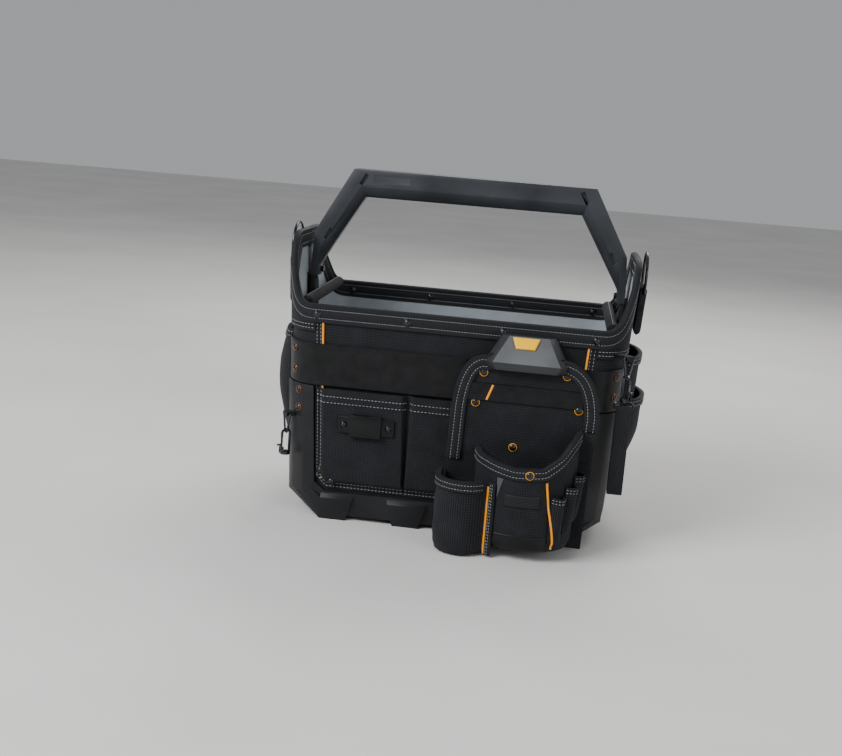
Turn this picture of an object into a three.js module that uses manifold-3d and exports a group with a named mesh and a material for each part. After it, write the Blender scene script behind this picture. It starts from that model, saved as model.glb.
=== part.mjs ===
// Open top tool tote: a cloth body on a moulded base, an arched handle, pockets outside,
// snap hooks on two corners and a pouch clipped to the front.
// Millimetres. +X runs to the right end, +Y to the back and +Z up.
import * as THREE from "three";
import { mergeVertices } from "three/addons/utils/BufferGeometryUtils.js";
import Module from "manifold-3d";

const wasm = await Module();
wasm.setup();

// Clearance between pieces that touch, and between sliding ones.
const gap = 0.3;
const trayGap = 0.8;
const bindingGap = 0.9;
const edgeGap = 1.2;

// Cloth body.
const bodyLength = 410;
const bodyDepth = 240;
const earFlare = 8;
const kneeTaper = 24;
const floorTaper = 84;
const rimHeight = 261;
const earHeight = 340;
const kneeHeight = 30;
const floorHeight = 9;
const cornerAlongX = 37;
const cornerAlongY = 50;
const earStart = 9;
const earPast = 21;
const earSweep = 30;
const earCorner = 26;
const clothThickness = 2.5;
const liningThickness = 1;

// The way round the mouth: half of a long side, a corner and half of an end.
const frontStraight = bodyLength / 2 - cornerAlongX;
const endStraight = bodyDepth / 2 - cornerAlongY;
const cornerArc = (Math.PI / 2) * Math.sqrt((cornerAlongX ** 2 + cornerAlongY ** 2) / 2);
const quarter = frontStraight + cornerArc + endStraight;

// Trim of the body.
const bindingThickness = 1.8;
const bindingWidth = 20;
const collarThickness = 2;
const collarBottom = 230;
const bandThickness = 2.2;
const bandBottom = 165.3;
const bandTop = 215;
const bandWrap = 65;
const bandReach = frontStraight + bandWrap;

// Moulded base.
const trayThickness = 4;
const trayFloorThickness = 3;
const frontLipHeight = 34.5;
const guardHeight = 164;
const guardClear = 1.3;
const guardPast = 8;
const guardStart = frontStraight + guardClear;
const guardEnd = frontStraight + cornerArc + guardPast;
const guardFacetShares = [0, 0.18, 0.43, 0.655, 1];
const guardFacets = guardFacetShares.map((share) => guardStart + share * (guardEnd - guardStart));
const endLipHeight = 44.5;
const footWidth = 32;
const footInset = 16;
const footFromMiddle = 25;
const footInner = { from: footFromMiddle, to: footFromMiddle + footWidth };
const footEdge = (bodyLength - floorTaper) / 2 - footInset;
const footOuter = { from: footEdge - footWidth, to: footEdge };
const footFlare = 9;
const footDepth = 62;
const footFaceHeight = 27;
const footTopHeight = 34;
const footReach = 9;
const footTuck = 2;
const cornerFacetHeights = [[3, 24], [2, 31], [1, 43.4]];
const cornerFacetTop = 46;
const cornerFacetDepth = 16;

// Front pockets.
const pocketBottom = 38.5;
const pocketTop = 162;
const pocketMargin = 1;
const pocketReach = frontStraight - pocketMargin;
const pocketDivider = 50;
const pocketBulge = 8;
const pocketFlange = 5;
const pocketRise = 6;
const pocketCloth = 1.6;
const pocketCutWidth = 14;
const pocketCutHeight = 15;
const frontLipReach = pocketReach - pocketCutWidth;

// Metal clip plate on the left front pocket.
const clipPastDivider = 46.4;
const clipCentre = -(pocketDivider + clipPastDivider);
const clipHeight = 122;
const clipLength = 68;
const clipWidth = 20;
const clipThickness = 2;
const clipMiddleLength = 38;
const clipMiddleWidth = 26;
const clipMiddleRise = 4.5;
const clipSlot = 1.8;

// Handle: half widths and heights of its outer and inner outline.
const handleTop = 420;
const handleDepth = 36;
const handlePostInset = 7;
const handleLean = 3;
const handleShoulder = 44.5;
const handlePostHalf = bodyLength / 2 - handlePostInset;
const handleBendHalf = handlePostHalf - handleLean;
const handleTopHalf = handleBendHalf - handleShoulder;
const handleBendHeight = 340;
const handlePostBottom = 283;
const handleBarHeight = 34;
const handleArmWidth = 12;
const handleArmTopWidth = 15.5;
const handleInnerTopHalf = handleTopHalf - handleArmTopWidth;
const handleInnerBendHalf = handleBendHalf - handleArmWidth;
const handleInnerBendShare = 0.21;
const handlePostThickness = 10;
const handleKneeRise = 14;
const handleKneeHeight = handlePostBottom + handleKneeRise;
const handleInnerBendHeight = handleKneeHeight
  + handleInnerBendShare * (handleBendHeight - handleKneeHeight);
const handleFaceShare = 0.6;
const handleChamferShare = 0.88;
const handleChamferDepth = 5;
const handleSlotLength = 15;
const handleSlotWidth = 5;
const handleSlotDepth = 4;
const handleSlots = [
  [handleInnerTopHalf + 2, handleTop - 12],
  [handleBendHalf - 17, handleBendHeight - 3],
];
const handleLabelCentre = -102;
const handleLabelLength = 44;
const handleLabelWidth = 9;
const handleLabelDepth = 0.6;
const handleLabelDrop = 10.5;

// What carries the handle.
const bracketWidth = 40;
const bracketThickness = 9;
const bracketBottom = 150;
const boltRadius = 4;
const boltHead = 3.2;
const boltRise = 7;
const boltHeight = handlePostBottom + boltRise;

// Padded bar inside each end.
const endBarRadius = 7;
const endBarInset = 22;
const endBarHalf = bodyLength / 2 - endBarInset;
const endBarHeight = rimHeight + 1;

// Tab and ring outside each raised end.
const sideTabDrop = 35;
const sideTabLength = 55;
const sideTabTop = earHeight - sideTabDrop;
const sideTabBottom = sideTabTop - sideTabLength;
const sideTabWidth = 56;
const sideTabStand = 9.5;
const sideTabThickness = 7;
const sideTabSpacer = 24;
const sideTabSpacerInset = 8;
const strapRingWidth = 44;
const strapRingWire = 1.8;
const strapRingDrop = 6;
const strapRingRise = 7;
const strapRingTop = earHeight + strapRingRise;

// End pockets.
const endPocketMargin = 12;
const endPocketHalf = endStraight - endPocketMargin;
const endPocketBottom = 46;
const endPocketHeights = [46, 64, 92, 124, 160, 170, 190];
const bowTop = 217;
const bowBulge = 31;
const bowShare = 0.82;
const backTierTop = 222;
const backTierBulge = 21;
const frontTierTop = 170;
const frontTierBulge = 9;
const endPocketCloth = 1.6;
const endBindingWidth = 10;
const endBindingThickness = 1.2;

// Snap hooks: the right one carries a swivel eye with a strap loop.
const hookPastCorner = 30;
const hookCorner = frontStraight + hookPastCorner;
const hookStand = 20;
const hookRingTop = 234;
const hookRingDrop = 20;
const apexFrom = 215;
const apexTo = 325;
const hookRingWidth = 18;
const hookRingWire = 1.5;
const hookWire = 1.6;
const hookBend = 5;
const hookLength = 30;
const hookBaseRadius = 6;
const hookBaseHeight = 4;
const hookTipDrop = 4.5;
const gateWire = 1.4;
const gatePivotRise = 3.4;
const gatePinRadius = 0.8;
const gateLugThickness = 1.3;
const gateLeverLength = 6;
const gateLeverRise = 3.5;
const gateLeverThickness = 2;
const stemRadius = 1.6;
const stemHeadRadius = 2.9;
const stemHeadHeight = 1.5;
const eyeWidth = 25;
const eyeHeight = 10;
const eyeWire = 1.5;
const eyeCorner = 3;
const strapWidth = 17.6;
const strapThickness = 1.6;
const strapLength = 104;
const strapBend = 7;
const tabThickness = 5;
const tabWidth = 12;
const leftHookCorner = guardFacets[2];
const leftHookStand = 13;
const leftRingTop = 124;

// Pouch.
const pouchStand = 27;
const pouchBackFace = -bodyDepth / 2 - pouchStand;
const pouchPanelThickness = 3;
const pouchBottom = 6;
const pouchLeft = 3;
const pouchRight = 175;
const pouchArchTop = 227;
const pouchShoulderLeft = 30;
const pouchShoulderRight = 42;
const pouchShoulderHeight = 62;
const pouchLean = 4;
const pouchBindingWidth = 15;
const pouchBindingThickness = 1.6;
const pouchLabelBottom = 175;
const pouchLabelTop = 191;
const pouchLabelLeft = 30;
const pouchLabelRight = 146;
const pouchLabelThickness = 1;
const mainCentre = 99;
const mainHalf = 59;
const mainDepth = 56;
const mainRoundness = 2.2;
const mainBottom = 14;
const mainRimLow = 110;
const mainRimRise = 40;
const pouchCloth = 1.6;
const sideBottom = 3;
const sideRim = 89;
const sideReach = 57;
const sideShoulder = 16;
const sideFront = 36;
const seamFrom = 50.5;
const seamTo = 61.5;
const sideBindingEnd = 0.58;
const slotCount = 3;
const slotBottom = 24;
const slotTop = 80;
const slotStep = 10;
const slotBulge = 9;
const slotFrom = 122.9;
const slotWidth = 19.6;
const slotSeam = 1.1;

// Hub that holds the pouch.
const hubCentre = 88;
const hubTop = 250;
const hubMiddle = 222;
const hubBottom = 213;
const hubTopHalf = 31;
const hubMiddleHalf = 47;
const hubBottomHalf = 43;
const hubTopFace = pouchBackFace + 8;
const hubMiddleFace = pouchBackFace - 16;
const hubBottomFace = pouchBackFace - 14;
const hubFacetInset = 8;
const buttonCentre = 85;
const buttonHalfTop = 16;
const buttonHalfBottom = 11;
const buttonInset = 2.5;
const buttonLength = 15;
const buttonThickness = 2.5;
const buttonShrink = 0.9;

const finishes = {
  blackCloth: new THREE.MeshStandardMaterial({ color: 0x1b1c1f, roughness: 0.9 }),
  smoothBand: new THREE.MeshStandardMaterial({ color: 0x16171a, roughness: 0.5 }),
  lining: new THREE.MeshStandardMaterial({ color: 0x8f9aa3, roughness: 0.85 }),
  basePlastic: new THREE.MeshStandardMaterial({ color: 0x2b2c2e, roughness: 0.65 }),
  handlePlastic: new THREE.MeshStandardMaterial({ color: 0x30353b, roughness: 0.5 }),
  hubPlastic: new THREE.MeshStandardMaterial({ color: 0x54585c, roughness: 0.5 }),
  yellowPlastic: new THREE.MeshStandardMaterial({ color: 0xf2b111, roughness: 0.45 }),
  foam: new THREE.MeshStandardMaterial({ color: 0x151516, roughness: 0.95 }),
  steel: new THREE.MeshStandardMaterial({ color: 0x8c8f93, roughness: 0.3, metalness: 1 }),
  blackSteel: new THREE.MeshStandardMaterial({ color: 0x121214, roughness: 0.35, metalness: 0.8 }),
  webbing: new THREE.MeshStandardMaterial({ color: 0x17181a, roughness: 0.85 }),
};

// Solids.

// A closed mesh from a list of vertices and triangles, with its faces pointing out.
function closedGeometry(vertices, triangles) {
  let volume = 0;
  for (const [a, b, c] of triangles) {
    volume += vertices[a].dot(new THREE.Vector3().crossVectors(vertices[b], vertices[c]));
  }
  const geometry = new THREE.BufferGeometry();
  const facing = volume < 0 ? triangles.map(([a, b, c]) => [a, c, b]) : triangles;
  const numbers = vertices.flatMap((vertex) => vertex.toArray());
  geometry.setAttribute("position", new THREE.Float32BufferAttribute(numbers, 3));
  geometry.setIndex(facing.flat());
  return geometry;
}

// A sheet with thickness: both grids hold one row of points for each station along the sheet.
// wrap joins the last station to the first, and floor closes the lower edges, as a cup's floor does.
function sheet(outer, inner, { wrap = false, floor = false } = {}) {
  const columns = outer.length;
  const rows = outer[0].length;
  const vertices = [...outer.flat(), ...inner.flat()];
  const triangles = [];
  const out = (j, i) => (j % columns) * rows + i;
  const inn = (j, i) => columns * rows + out(j, i);
  const quad = (a, b, c, d) => triangles.push([a, b, c], [a, c, d]);
  const spans = wrap ? columns : columns - 1;
  for (let j = 0; j < spans; j++) {
    for (let i = 0; i < rows - 1; i++) {
      quad(out(j, i), out(j + 1, i), out(j + 1, i + 1), out(j, i + 1));
      quad(inn(j, i), inn(j, i + 1), inn(j + 1, i + 1), inn(j + 1, i));
    }
    quad(out(j, rows - 1), out(j + 1, rows - 1), inn(j + 1, rows - 1), inn(j, rows - 1));
    if (!floor) quad(inn(j, 0), inn(j + 1, 0), out(j + 1, 0), out(j, 0));
  }
  if (!wrap) {
    const last = columns - 1;
    for (let i = 0; i < rows - 1; i++) {
      quad(out(0, i), out(0, i + 1), inn(0, i + 1), inn(0, i));
      quad(out(last, i + 1), out(last, i), inn(last, i), inn(last, i + 1));
    }
  }
  if (floor) {
    for (const [grid, at, turned] of [[outer, out, true], [inner, inn, false]]) {
      const middle = grid.reduce((sum, row) => sum.add(row[0]), new THREE.Vector3()).divideScalar(columns);
      vertices.push(middle);
      for (let j = 0; j < columns; j++) {
        const edge = [at(j, 0), at(j + 1, 0)];
        triangles.push([vertices.length - 1, ...(turned ? edge.reverse() : edge)]);
      }
    }
  }
  return closedGeometry(vertices, triangles);
}

function solidOf(geometry) {
  const bare = geometry.clone();
  bare.deleteAttribute("normal");
  bare.deleteAttribute("uv");
  const merged = mergeVertices(bare, 1e-4);
  const vertProperties = new Float32Array(merged.attributes.position.array);
  return new wasm.Manifold(new wasm.Mesh({
    numProp: 3,
    vertProperties,
    triVerts: new Uint32Array(merged.index.array),
  }));
}

// Slivers along a cut that are thinner than this are merged into their neighbours.
const sliver = 0.02;

function geometryOf(solid) {
  const mesh = solid.simplify(sliver).getMesh();
  const geometry = new THREE.BufferGeometry();
  geometry.setAttribute("position", new THREE.BufferAttribute(new Float32Array(mesh.vertProperties), 3));
  geometry.setIndex(new THREE.BufferAttribute(new Uint32Array(mesh.triVerts), 1));
  return geometry;
}

const joined = (...geometries) =>
  geometryOf(geometries.map(solidOf).reduce((whole, next) => whole.add(next)));
const cut = (geometry, ...tools) =>
  geometryOf(tools.map(solidOf).reduce((whole, next) => whole.subtract(next), solidOf(geometry)));

// A box between two corners.
function block([x0, y0, z0], [x1, y1, z1]) {
  return new THREE.BoxGeometry(x1 - x0, y1 - y0, z1 - z0)
    .translate((x0 + x1) / 2, (y0 + y1) / 2, (z0 + z1) / 2);
}

// A round bar along an axis, centred on a point.
function rod(axis, centre, radius, length, sides = 12) {
  const bar = new THREE.CylinderGeometry(radius, radius, length, sides);
  if (axis === "x") bar.rotateZ(Math.PI / 2);
  if (axis === "z") bar.rotateX(Math.PI / 2);
  return bar.translate(...centre);
}

// A solid through closed rings of points, one above the other, with flat ends.
function stack(rings) {
  const count = rings[0].length;
  const vertices = rings.flat();
  const triangles = [];
  for (let j = 0; j < rings.length - 1; j++) {
    for (let i = 0; i < count; i++) {
      const next = (i + 1) % count;
      triangles.push([j * count + i, j * count + next, (j + 1) * count + next]);
      triangles.push([j * count + i, (j + 1) * count + next, (j + 1) * count + i]);
    }
  }
  const top = (rings.length - 1) * count;
  for (let i = 1; i < count - 1; i++) triangles.push([0, i + 1, i], [top, top + i, top + i + 1]);
  return closedGeometry(vertices, triangles);
}

// A bar of any section swept along a path in one plane. path holds [across, up] points, section holds
// [in the plane, out of the plane] points, and place(across, out, up) puts a point in space.
function planarSweep(path, section, place, closed) {
  const count = path.length;
  const rings = path.map(([a, b], i) => {
    const before = path[closed ? (i + count - 1) % count : Math.max(i - 1, 0)];
    const after = path[closed ? (i + 1) % count : Math.min(i + 1, count - 1)];
    const into = new THREE.Vector2(a - before[0], b - before[1]).normalize();
    const onward = new THREE.Vector2(after[0] - a, after[1] - b).normalize();
    if (into.length() === 0) into.copy(onward);
    if (onward.length() === 0) onward.copy(into);
    const bisector = new THREE.Vector2(into.x + onward.x, into.y + onward.y).normalize();
    const stretch = 1 / Math.max(bisector.dot(into), 0.5);
    return section.map(([u, v]) => place(a - bisector.y * u * stretch, v, b + bisector.x * u * stretch));
  });
  const sides = section.length;
  const vertices = rings.flat();
  const triangles = [];
  const spans = closed ? count : count - 1;
  for (let j = 0; j < spans; j++) {
    const next = (j + 1) % count;
    for (let i = 0; i < sides; i++) {
      const turn = (i + 1) % sides;
      triangles.push([j * sides + i, next * sides + i, next * sides + turn]);
      triangles.push([j * sides + i, next * sides + turn, j * sides + turn]);
    }
  }
  if (!closed) {
    const end = (count - 1) * sides;
    for (let i = 1; i < sides - 1; i++) {
      triangles.push([0, i, i + 1], [end, end + i + 1, end + i]);
    }
  }
  return closedGeometry(vertices, triangles);
}

const roundSection = (radius, sides = 6) => Array.from({ length: sides }, (_, i) => {
  const angle = ((i + 0.5) / sides) * 2 * Math.PI;
  return [radius * Math.cos(angle), radius * Math.sin(angle)];
});

// Points of an arc about a centre, from one angle to another in degrees.
const arc = ([x, y], radius, from, to, steps) => Array.from({ length: steps + 1 }, (_, i) => {
  const angle = THREE.MathUtils.degToRad(from + ((to - from) * i) / steps);
  return [x + radius * Math.cos(angle), y + radius * Math.sin(angle)];
});

const steps = (from, to, count) =>
  Array.from({ length: count + 1 }, (_, i) => from + ((to - from) * i) / count);

function interpolate(table, key, value, at) {
  const last = table.length - 2;
  const found = table.findIndex((row, i) => i <= last && at <= table[i + 1][key]);
  const i = found < 0 ? last : found;
  const share = (at - table[i][key]) / (table[i + 1][key] - table[i][key]);
  return table[i][value] + (table[i + 1][value] - table[i][value]) * share;
}

// The wall of the cloth body.

const bodyEnd = [
  { height: floorHeight, half: (bodyLength - floorTaper) / 2 },
  { height: kneeHeight, half: (bodyLength - kneeTaper) / 2 },
  { height: rimHeight, half: bodyLength / 2 },
  { height: earHeight, half: (bodyLength + earFlare) / 2 },
];

// A point of the wall: around is measured along the rim from the middle of the front, positive to the
// right, height is above the floor and out is away from the cloth's outer face.
function bodyWall(around, height, out) {
  const turned = THREE.MathUtils.euclideanModulo(around + 2 * quarter, 4 * quarter) - 2 * quarter;
  const distance = Math.abs(turned);
  const rear = distance > quarter;
  const along = rear ? 2 * quarter - distance : distance;
  const half = interpolate(bodyEnd, "height", "half", height);
  const straight = half - cornerAlongX;
  let x = (along / frontStraight) * straight;
  let y = -bodyDepth / 2;
  const normal = new THREE.Vector2(0, -1);
  if (along > frontStraight + cornerArc) {
    x = half;
    y = -endStraight * (1 - (along - frontStraight - cornerArc) / endStraight);
    normal.set(1, 0);
  } else if (along > frontStraight) {
    const angle = ((along - frontStraight) / cornerArc) * (Math.PI / 2);
    x = straight + cornerAlongX * Math.sin(angle);
    y = -endStraight - cornerAlongY * Math.cos(angle);
    normal.set(Math.sin(angle) / cornerAlongX, -Math.cos(angle) / cornerAlongY).normalize();
  }
  x += normal.x * out;
  y += normal.y * out;
  return new THREE.Vector3(turned < 0 ? -x : x, rear ? -y : y, height);
}

// The distance from the middle of the nearer long side, for shapes that are alike at all four corners.
function fromMiddle(around) {
  const turned = THREE.MathUtils.euclideanModulo(around + 2 * quarter, 4 * quarter) - 2 * quarter;
  const distance = Math.abs(turned);
  return distance > quarter ? 2 * quarter - distance : distance;
}

// The height of the mouth: level at the front and rear. At the ends its edge sweeps up on one arc, runs
// straight and turns level on another.
const earRise = earHeight - rimHeight;
const earEnd = cornerArc + earPast;
const earRun = earEnd - earStart;
const earSlope = Math.atan2(earRise - earSweep - earCorner, earRun)
  + Math.asin((earSweep + earCorner) / Math.hypot(earRun, earRise - earSweep - earCorner));
function mouthHeight(around) {
  const run = THREE.MathUtils.clamp(fromMiddle(around) - frontStraight - earStart, 0, earRun);
  const sweepRun = earSweep * Math.sin(earSlope);
  const cornerRun = earCorner * Math.sin(earSlope);
  if (run < sweepRun) return rimHeight + earSweep - Math.sqrt(earSweep ** 2 - run ** 2);
  if (run > earRun - cornerRun) {
    return earHeight - earCorner + Math.sqrt(earCorner ** 2 - (earRun - run) ** 2);
  }
  return rimHeight + earSweep * (1 - Math.cos(earSlope)) + (run - sweepRun) * Math.tan(earSlope);
}

// Stations of one quarter, mirrored to the whole way round.
function wholeWay(distances) {
  const right = [...distances, ...distances.map((d) => 2 * quarter - d)];
  const all = [...right, ...right.map((d) => -d)].map((d) => Math.round(d * 1000) / 1000);
  return [...new Set(all)].sort((a, b) => a - b).filter((d) => d > -2 * quarter + 0.01);
}
const quarterStations = [
  ...steps(0, frontStraight, 2),
  ...steps(frontStraight, frontStraight + earEnd, 10).slice(1),
  ...steps(frontStraight + earEnd, quarter, 2).slice(1),
];
const bodyStations = wholeWay(quarterStations);

// The line that lies a width below the mouth's edge, measured square to the edge on the wall.
function belowMouth(width) {
  return bodyStations.concat(bodyStations[0] + 4 * quarter, bodyStations[1] + 4 * quarter,
    bodyStations.at(-1) - 4 * quarter).sort((a, b) => a - b).map((around) => {
    const reach = 2;
    const slope = (mouthHeight(around + reach) - mouthHeight(around - reach)) / (2 * reach);
    const scale = width / Math.hypot(1, slope);
    return { around: around + slope * scale, height: mouthHeight(around) - scale };
  });
}

// A cup of cloth on the wall. rows gives the heights at a station, from the floor to the edge.
function cup(stations, wall, outerRows, outerOut, innerRows, innerOut) {
  const grid = (rows, out) =>
    stations.map((around) => rows(around).map((height) => wall(around, height, out)));
  return sheet(grid(outerRows, outerOut), grid(innerRows, innerOut), { wrap: true, floor: true });
}

// A panel of cloth on a wall, between a lower and an upper edge.
function panel(wall, stations, levels, low, high, inner, outer) {
  const grid = (out) => stations.map((along) => levels.map((level) =>
    wall(along, THREE.MathUtils.lerp(low(along), high(along), level), out)));
  return sheet(grid(outer), grid(inner));
}

// A folded binding over the edge of a wall. edge holds { along, height } points, and the cloth that it
// holds lies between the offsets inner and outer. span is the way round a wall that closes on itself.
function binding(wall, edge, { inner, outer, width, thickness, span = 0, legSteps = 2 }) {
  const count = edge.length;
  const neighbour = (i) => {
    const inside = THREE.MathUtils.clamp(i, 0, count - 1);
    if (!span || inside === i) return edge[inside];
    const other = edge[(i + count) % count];
    return { along: other.along + (i < 0 ? -span : span), height: other.height };
  };
  const outerGrid = [];
  const innerGrid = [];
  edge.forEach((here, i) => {
    const before = neighbour(i - 1);
    const after = neighbour(i + 1);
    const tangent = new THREE.Vector2(after.along - before.along, after.height - before.height).normalize();
    const at = (down, out) => wall(here.along + tangent.y * down, here.height - tangent.x * down, out);
    const leg = (top, out) => steps(width, top, legSteps).map((down) => at(down, out));
    outerGrid.push([
      ...leg(-bindingGap - thickness, outer + bindingGap + thickness),
      ...leg(-bindingGap - thickness, inner - bindingGap - thickness).reverse(),
    ]);
    innerGrid.push([
      ...leg(-bindingGap, outer + bindingGap), ...leg(-bindingGap, inner - bindingGap).reverse()]);
  });
  return sheet(outerGrid, innerGrid, { wrap: span > 0 });
}

const group = new THREE.Group();
function add(name, geometry, material, parent = group) {
  const mesh = new THREE.Mesh(geometry, material);
  mesh.name = name;
  parent.add(mesh);
  return mesh;
}

// Cloth body, lining and binding.

function clothBody() {
  const lining = belowMouth(bindingWidth + edgeGap);
  const underBinding = (around) => interpolate(lining, "around", "height", around);
  const rows = (floor, edge) => (around) => [
    floor, kneeHeight, THREE.MathUtils.lerp(kneeHeight, edge(around), 0.5), edge(around)];
  add("body_shell", cup(bodyStations, bodyWall,
    rows(floorHeight, mouthHeight), 0,
    rows(floorHeight + clothThickness, mouthHeight), -clothThickness), finishes.blackCloth);
  const liningOut = -clothThickness - gap;
  const liningFloor = floorHeight + clothThickness + gap;
  add("lining", cup(bodyStations, bodyWall,
    rows(liningFloor, underBinding), liningOut,
    rows(liningFloor + liningThickness, underBinding), liningOut - liningThickness), finishes.lining);
  add("rim_binding", binding(bodyWall,
    bodyStations.map((around) => ({ along: around, height: mouthHeight(around) })),
    { inner: -clothThickness, outer: 0, width: bindingWidth, thickness: bindingThickness,
      span: 4 * quarter }), finishes.blackCloth);
  for (const [side, name] of [[-1, "left"], [1, "right"]]) {
    const stations = bodyStations.filter((around) => around > frontStraight - 0.01
      && around < 2 * quarter - frontStraight + 0.01).map((around) => side * around);
    add(`end_collar_${name}`, panel(bodyWall, stations, [0, 0.5, 1], () => collarBottom, underBinding,
      gap, gap + collarThickness), finishes.blackCloth);
  }
  const bandStations = bodyStations.filter((around) => Math.abs(around) < bandReach);
  add("front_band", panel(bodyWall, [-bandReach, ...bandStations, bandReach], [0, 1],
    () => bandBottom, () => bandTop, gap, gap + bandThickness), finishes.smoothBand);
}

// Moulded base with its corner guards and feet.

function baseTray() {
  const profile = [
    { distance: 0, height: frontLipHeight },
    { distance: frontLipReach, height: frontLipHeight },
    { distance: guardStart - 1.5, height: pocketBottom + 7 },
    { distance: guardStart, height: guardHeight },
    { distance: guardEnd, height: guardHeight },
    { distance: guardEnd + 1.5, height: endLipHeight },
    { distance: quarter, height: endLipHeight },
  ];
  const lip = (around) => interpolate(profile, "distance", "height", fromMiddle(around));
  const stations = wholeWay([
    0, frontLipReach / 2, frontLipReach, guardStart - 1.5, ...guardFacets,
    ...quarterStations.filter((d) => d > guardStart + 3 && d < guardEnd - 3),
    guardEnd + 1.5, quarter,
  ]);
  // Between the vertices of the guard its outer face is flat.
  function facetWall(around, height, out) {
    const distance = fromMiddle(around);
    const i = guardFacets.findIndex((d, k) => k < guardFacets.length - 1
      && distance >= d && distance <= guardFacets[k + 1]);
    if (i < 0) return bodyWall(around, height, out);
    const share = (distance - guardFacets[i]) / (guardFacets[i + 1] - guardFacets[i]);
    const turn = fromMiddle(around + 0.01) > distance ? 1 : -1;
    const start = bodyWall(around + turn * (guardFacets[i] - distance), height, out);
    return start.lerp(bodyWall(around + turn * (guardFacets[i + 1] - distance), height, out), share);
  }
  const floorTop = floorHeight - gap;
  const floorBottom = floorTop - trayFloorThickness;
  const rows = (floor) => (around) => [floor, Math.min(lip(around) - 0.5, kneeHeight), lip(around)];
  const grid = (wall, floor, out) => stations.map((around) =>
    rows(floor)(around).map((height) => wall(around, height, out)));
  const cavity = stack([floorTop, kneeHeight, rimHeight].map((height) =>
    stations.map((around) => bodyWall(around, height, trayGap))));
  const face = bodyDepth / 2 + footReach;
  const footRing = (span, flare, side, back, height, front) => [
    [span.from - flare, face - footDepth],
    [span.to + (span === footOuter ? 0 : flare), face - footDepth],
    [span.to + (span === footOuter ? 0 : flare), front],
    [span.from - flare, front],
  ].map(([x, y]) => new THREE.Vector3(side * x, back * y, height));
  const feet = [];
  for (const span of [footInner, footOuter]) {
    for (const side of [-1, 1]) {
      for (const back of [-1, 1]) {
        feet.push(cut(stack([
          footRing(span, 0, side, back, 0, face - footTuck),
          footRing(span, footFlare * (footFaceHeight / footTopHeight), side, back, footFaceHeight, face),
          footRing(span, footFlare, side, back, footTopHeight, bodyDepth / 2 + trayGap + trayThickness / 2),
        ]), cavity));
      }
    }
  }

  // The slanted facet under each guard runs down to the foot's outer edge. The guard is filled above it.
  const guardPoint = (around, height) => bodyWall(around, kneeHeight, trayGap + trayThickness).setZ(height);
  const moved = ({ x, y, z }, inwards) => new THREE.Vector3(x - inwards, y + inwards, z);
  const guardLine = cornerFacetHeights.map(([i, height]) => guardPoint(guardFacets[i], height));
  const corner = [
    new THREE.Vector3(footEdge, -face + footTuck, 0), ...guardLine,
    new THREE.Vector3(footEdge, -face, footFaceHeight),
  ];
  const cornerParts = [[corner, corner.map((point) => moved(point, cornerFacetDepth))]];
  for (const i of [0, 1]) {
    const [from, to] = guardLine.slice(i, i + 2);
    const low = [from, to, moved(to, cornerFacetDepth), moved(from, cornerFacetDepth)];
    cornerParts.push([low, low.map((point) => point.clone().setZ(cornerFacetTop))]);
  }
  for (const side of [-1, 1]) {
    for (const back of [-1, 1]) {
      for (const rings of cornerParts) {
        feet.push(cut(stack(rings.map((ring) => ring.map(({ x, y, z }) =>
          new THREE.Vector3(side * x, -back * y, z)))), cavity));
      }
    }
  }
  const outside = grid(facetWall, floorBottom, trayGap + trayThickness);
  const tray = sheet(outside, grid(bodyWall, floorTop, trayGap), { wrap: true, floor: true });
  add("base_tray", joined(tray, ...feet), finishes.basePlastic);
}

// Front pockets, sewn flat at their edges and standing off the body between them.

// 0 at the ends of a span and 1 between them, past a flat margin and a short slope.
function plateau(at, from, to, margin, slope) {
  const inside = Math.min(at - from, to - at) - margin;
  return THREE.MathUtils.clamp(inside / slope, 0, 1);
}

function frontPockets() {
  const spans = [
    ["left", -pocketReach, -pocketDivider - gap / 2],
    ["middle", -pocketDivider + gap / 2, pocketDivider - gap / 2],
    ["right", pocketDivider + gap / 2, pocketReach],
  ];
  for (const [name, from, to] of spans) {
    const low = (around) => pocketBottom
      + Math.max(0, Math.abs(around) - pocketReach + pocketCutWidth) * (pocketCutHeight / pocketCutWidth);
    const cutAt = (end) => (Math.abs(end) === pocketReach ? [end - Math.sign(end) * pocketCutWidth] : []);
    const edges = [from, from + pocketFlange, from + pocketFlange + pocketRise, (from + to) / 2,
      to - pocketFlange - pocketRise, to - pocketFlange, to, ...cutAt(from), ...cutAt(to)];
    const stations = edges.sort((a, b) => a - b);
    const height = pocketTop - pocketBottom;
    const levels = [0, pocketFlange / height, (pocketFlange + pocketRise) / height, 0.5, 1];
    const stand = (around, level) => gap + pocketBulge
      * plateau(around, from, to, pocketFlange, pocketRise)
      * THREE.MathUtils.clamp((level * height - pocketFlange) / pocketRise, 0, 1);
    const grid = (thickness) => stations.map((around) => levels.map((level) => bodyWall(
      around, THREE.MathUtils.lerp(low(around), pocketTop, level), stand(around, level) + thickness)));
    add(`front_pocket_${name}`, sheet(grid(pocketCloth), grid(0)), finishes.blackCloth);
  }
}

function clipPlate() {
  const back = -bodyDepth / 2 - gap - pocketBulge - pocketCloth - gap;
  const plate = (length, width, from, to) => block(
    [clipCentre - length / 2, back - to, clipHeight - width / 2],
    [clipCentre + length / 2, back - from, clipHeight + width / 2]);
  const slotLength = clipMiddleLength - 2 * clipThickness;
  const middle = cut(plate(clipMiddleLength, clipMiddleWidth, 0, clipThickness + clipMiddleRise),
    plate(slotLength, clipMiddleWidth + 2, clipThickness, clipThickness + clipSlot));
  add("clip_plate", joined(plate(clipLength, clipWidth, 0, clipThickness), middle), finishes.blackSteel);
}

// Handle and what carries it.

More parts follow.
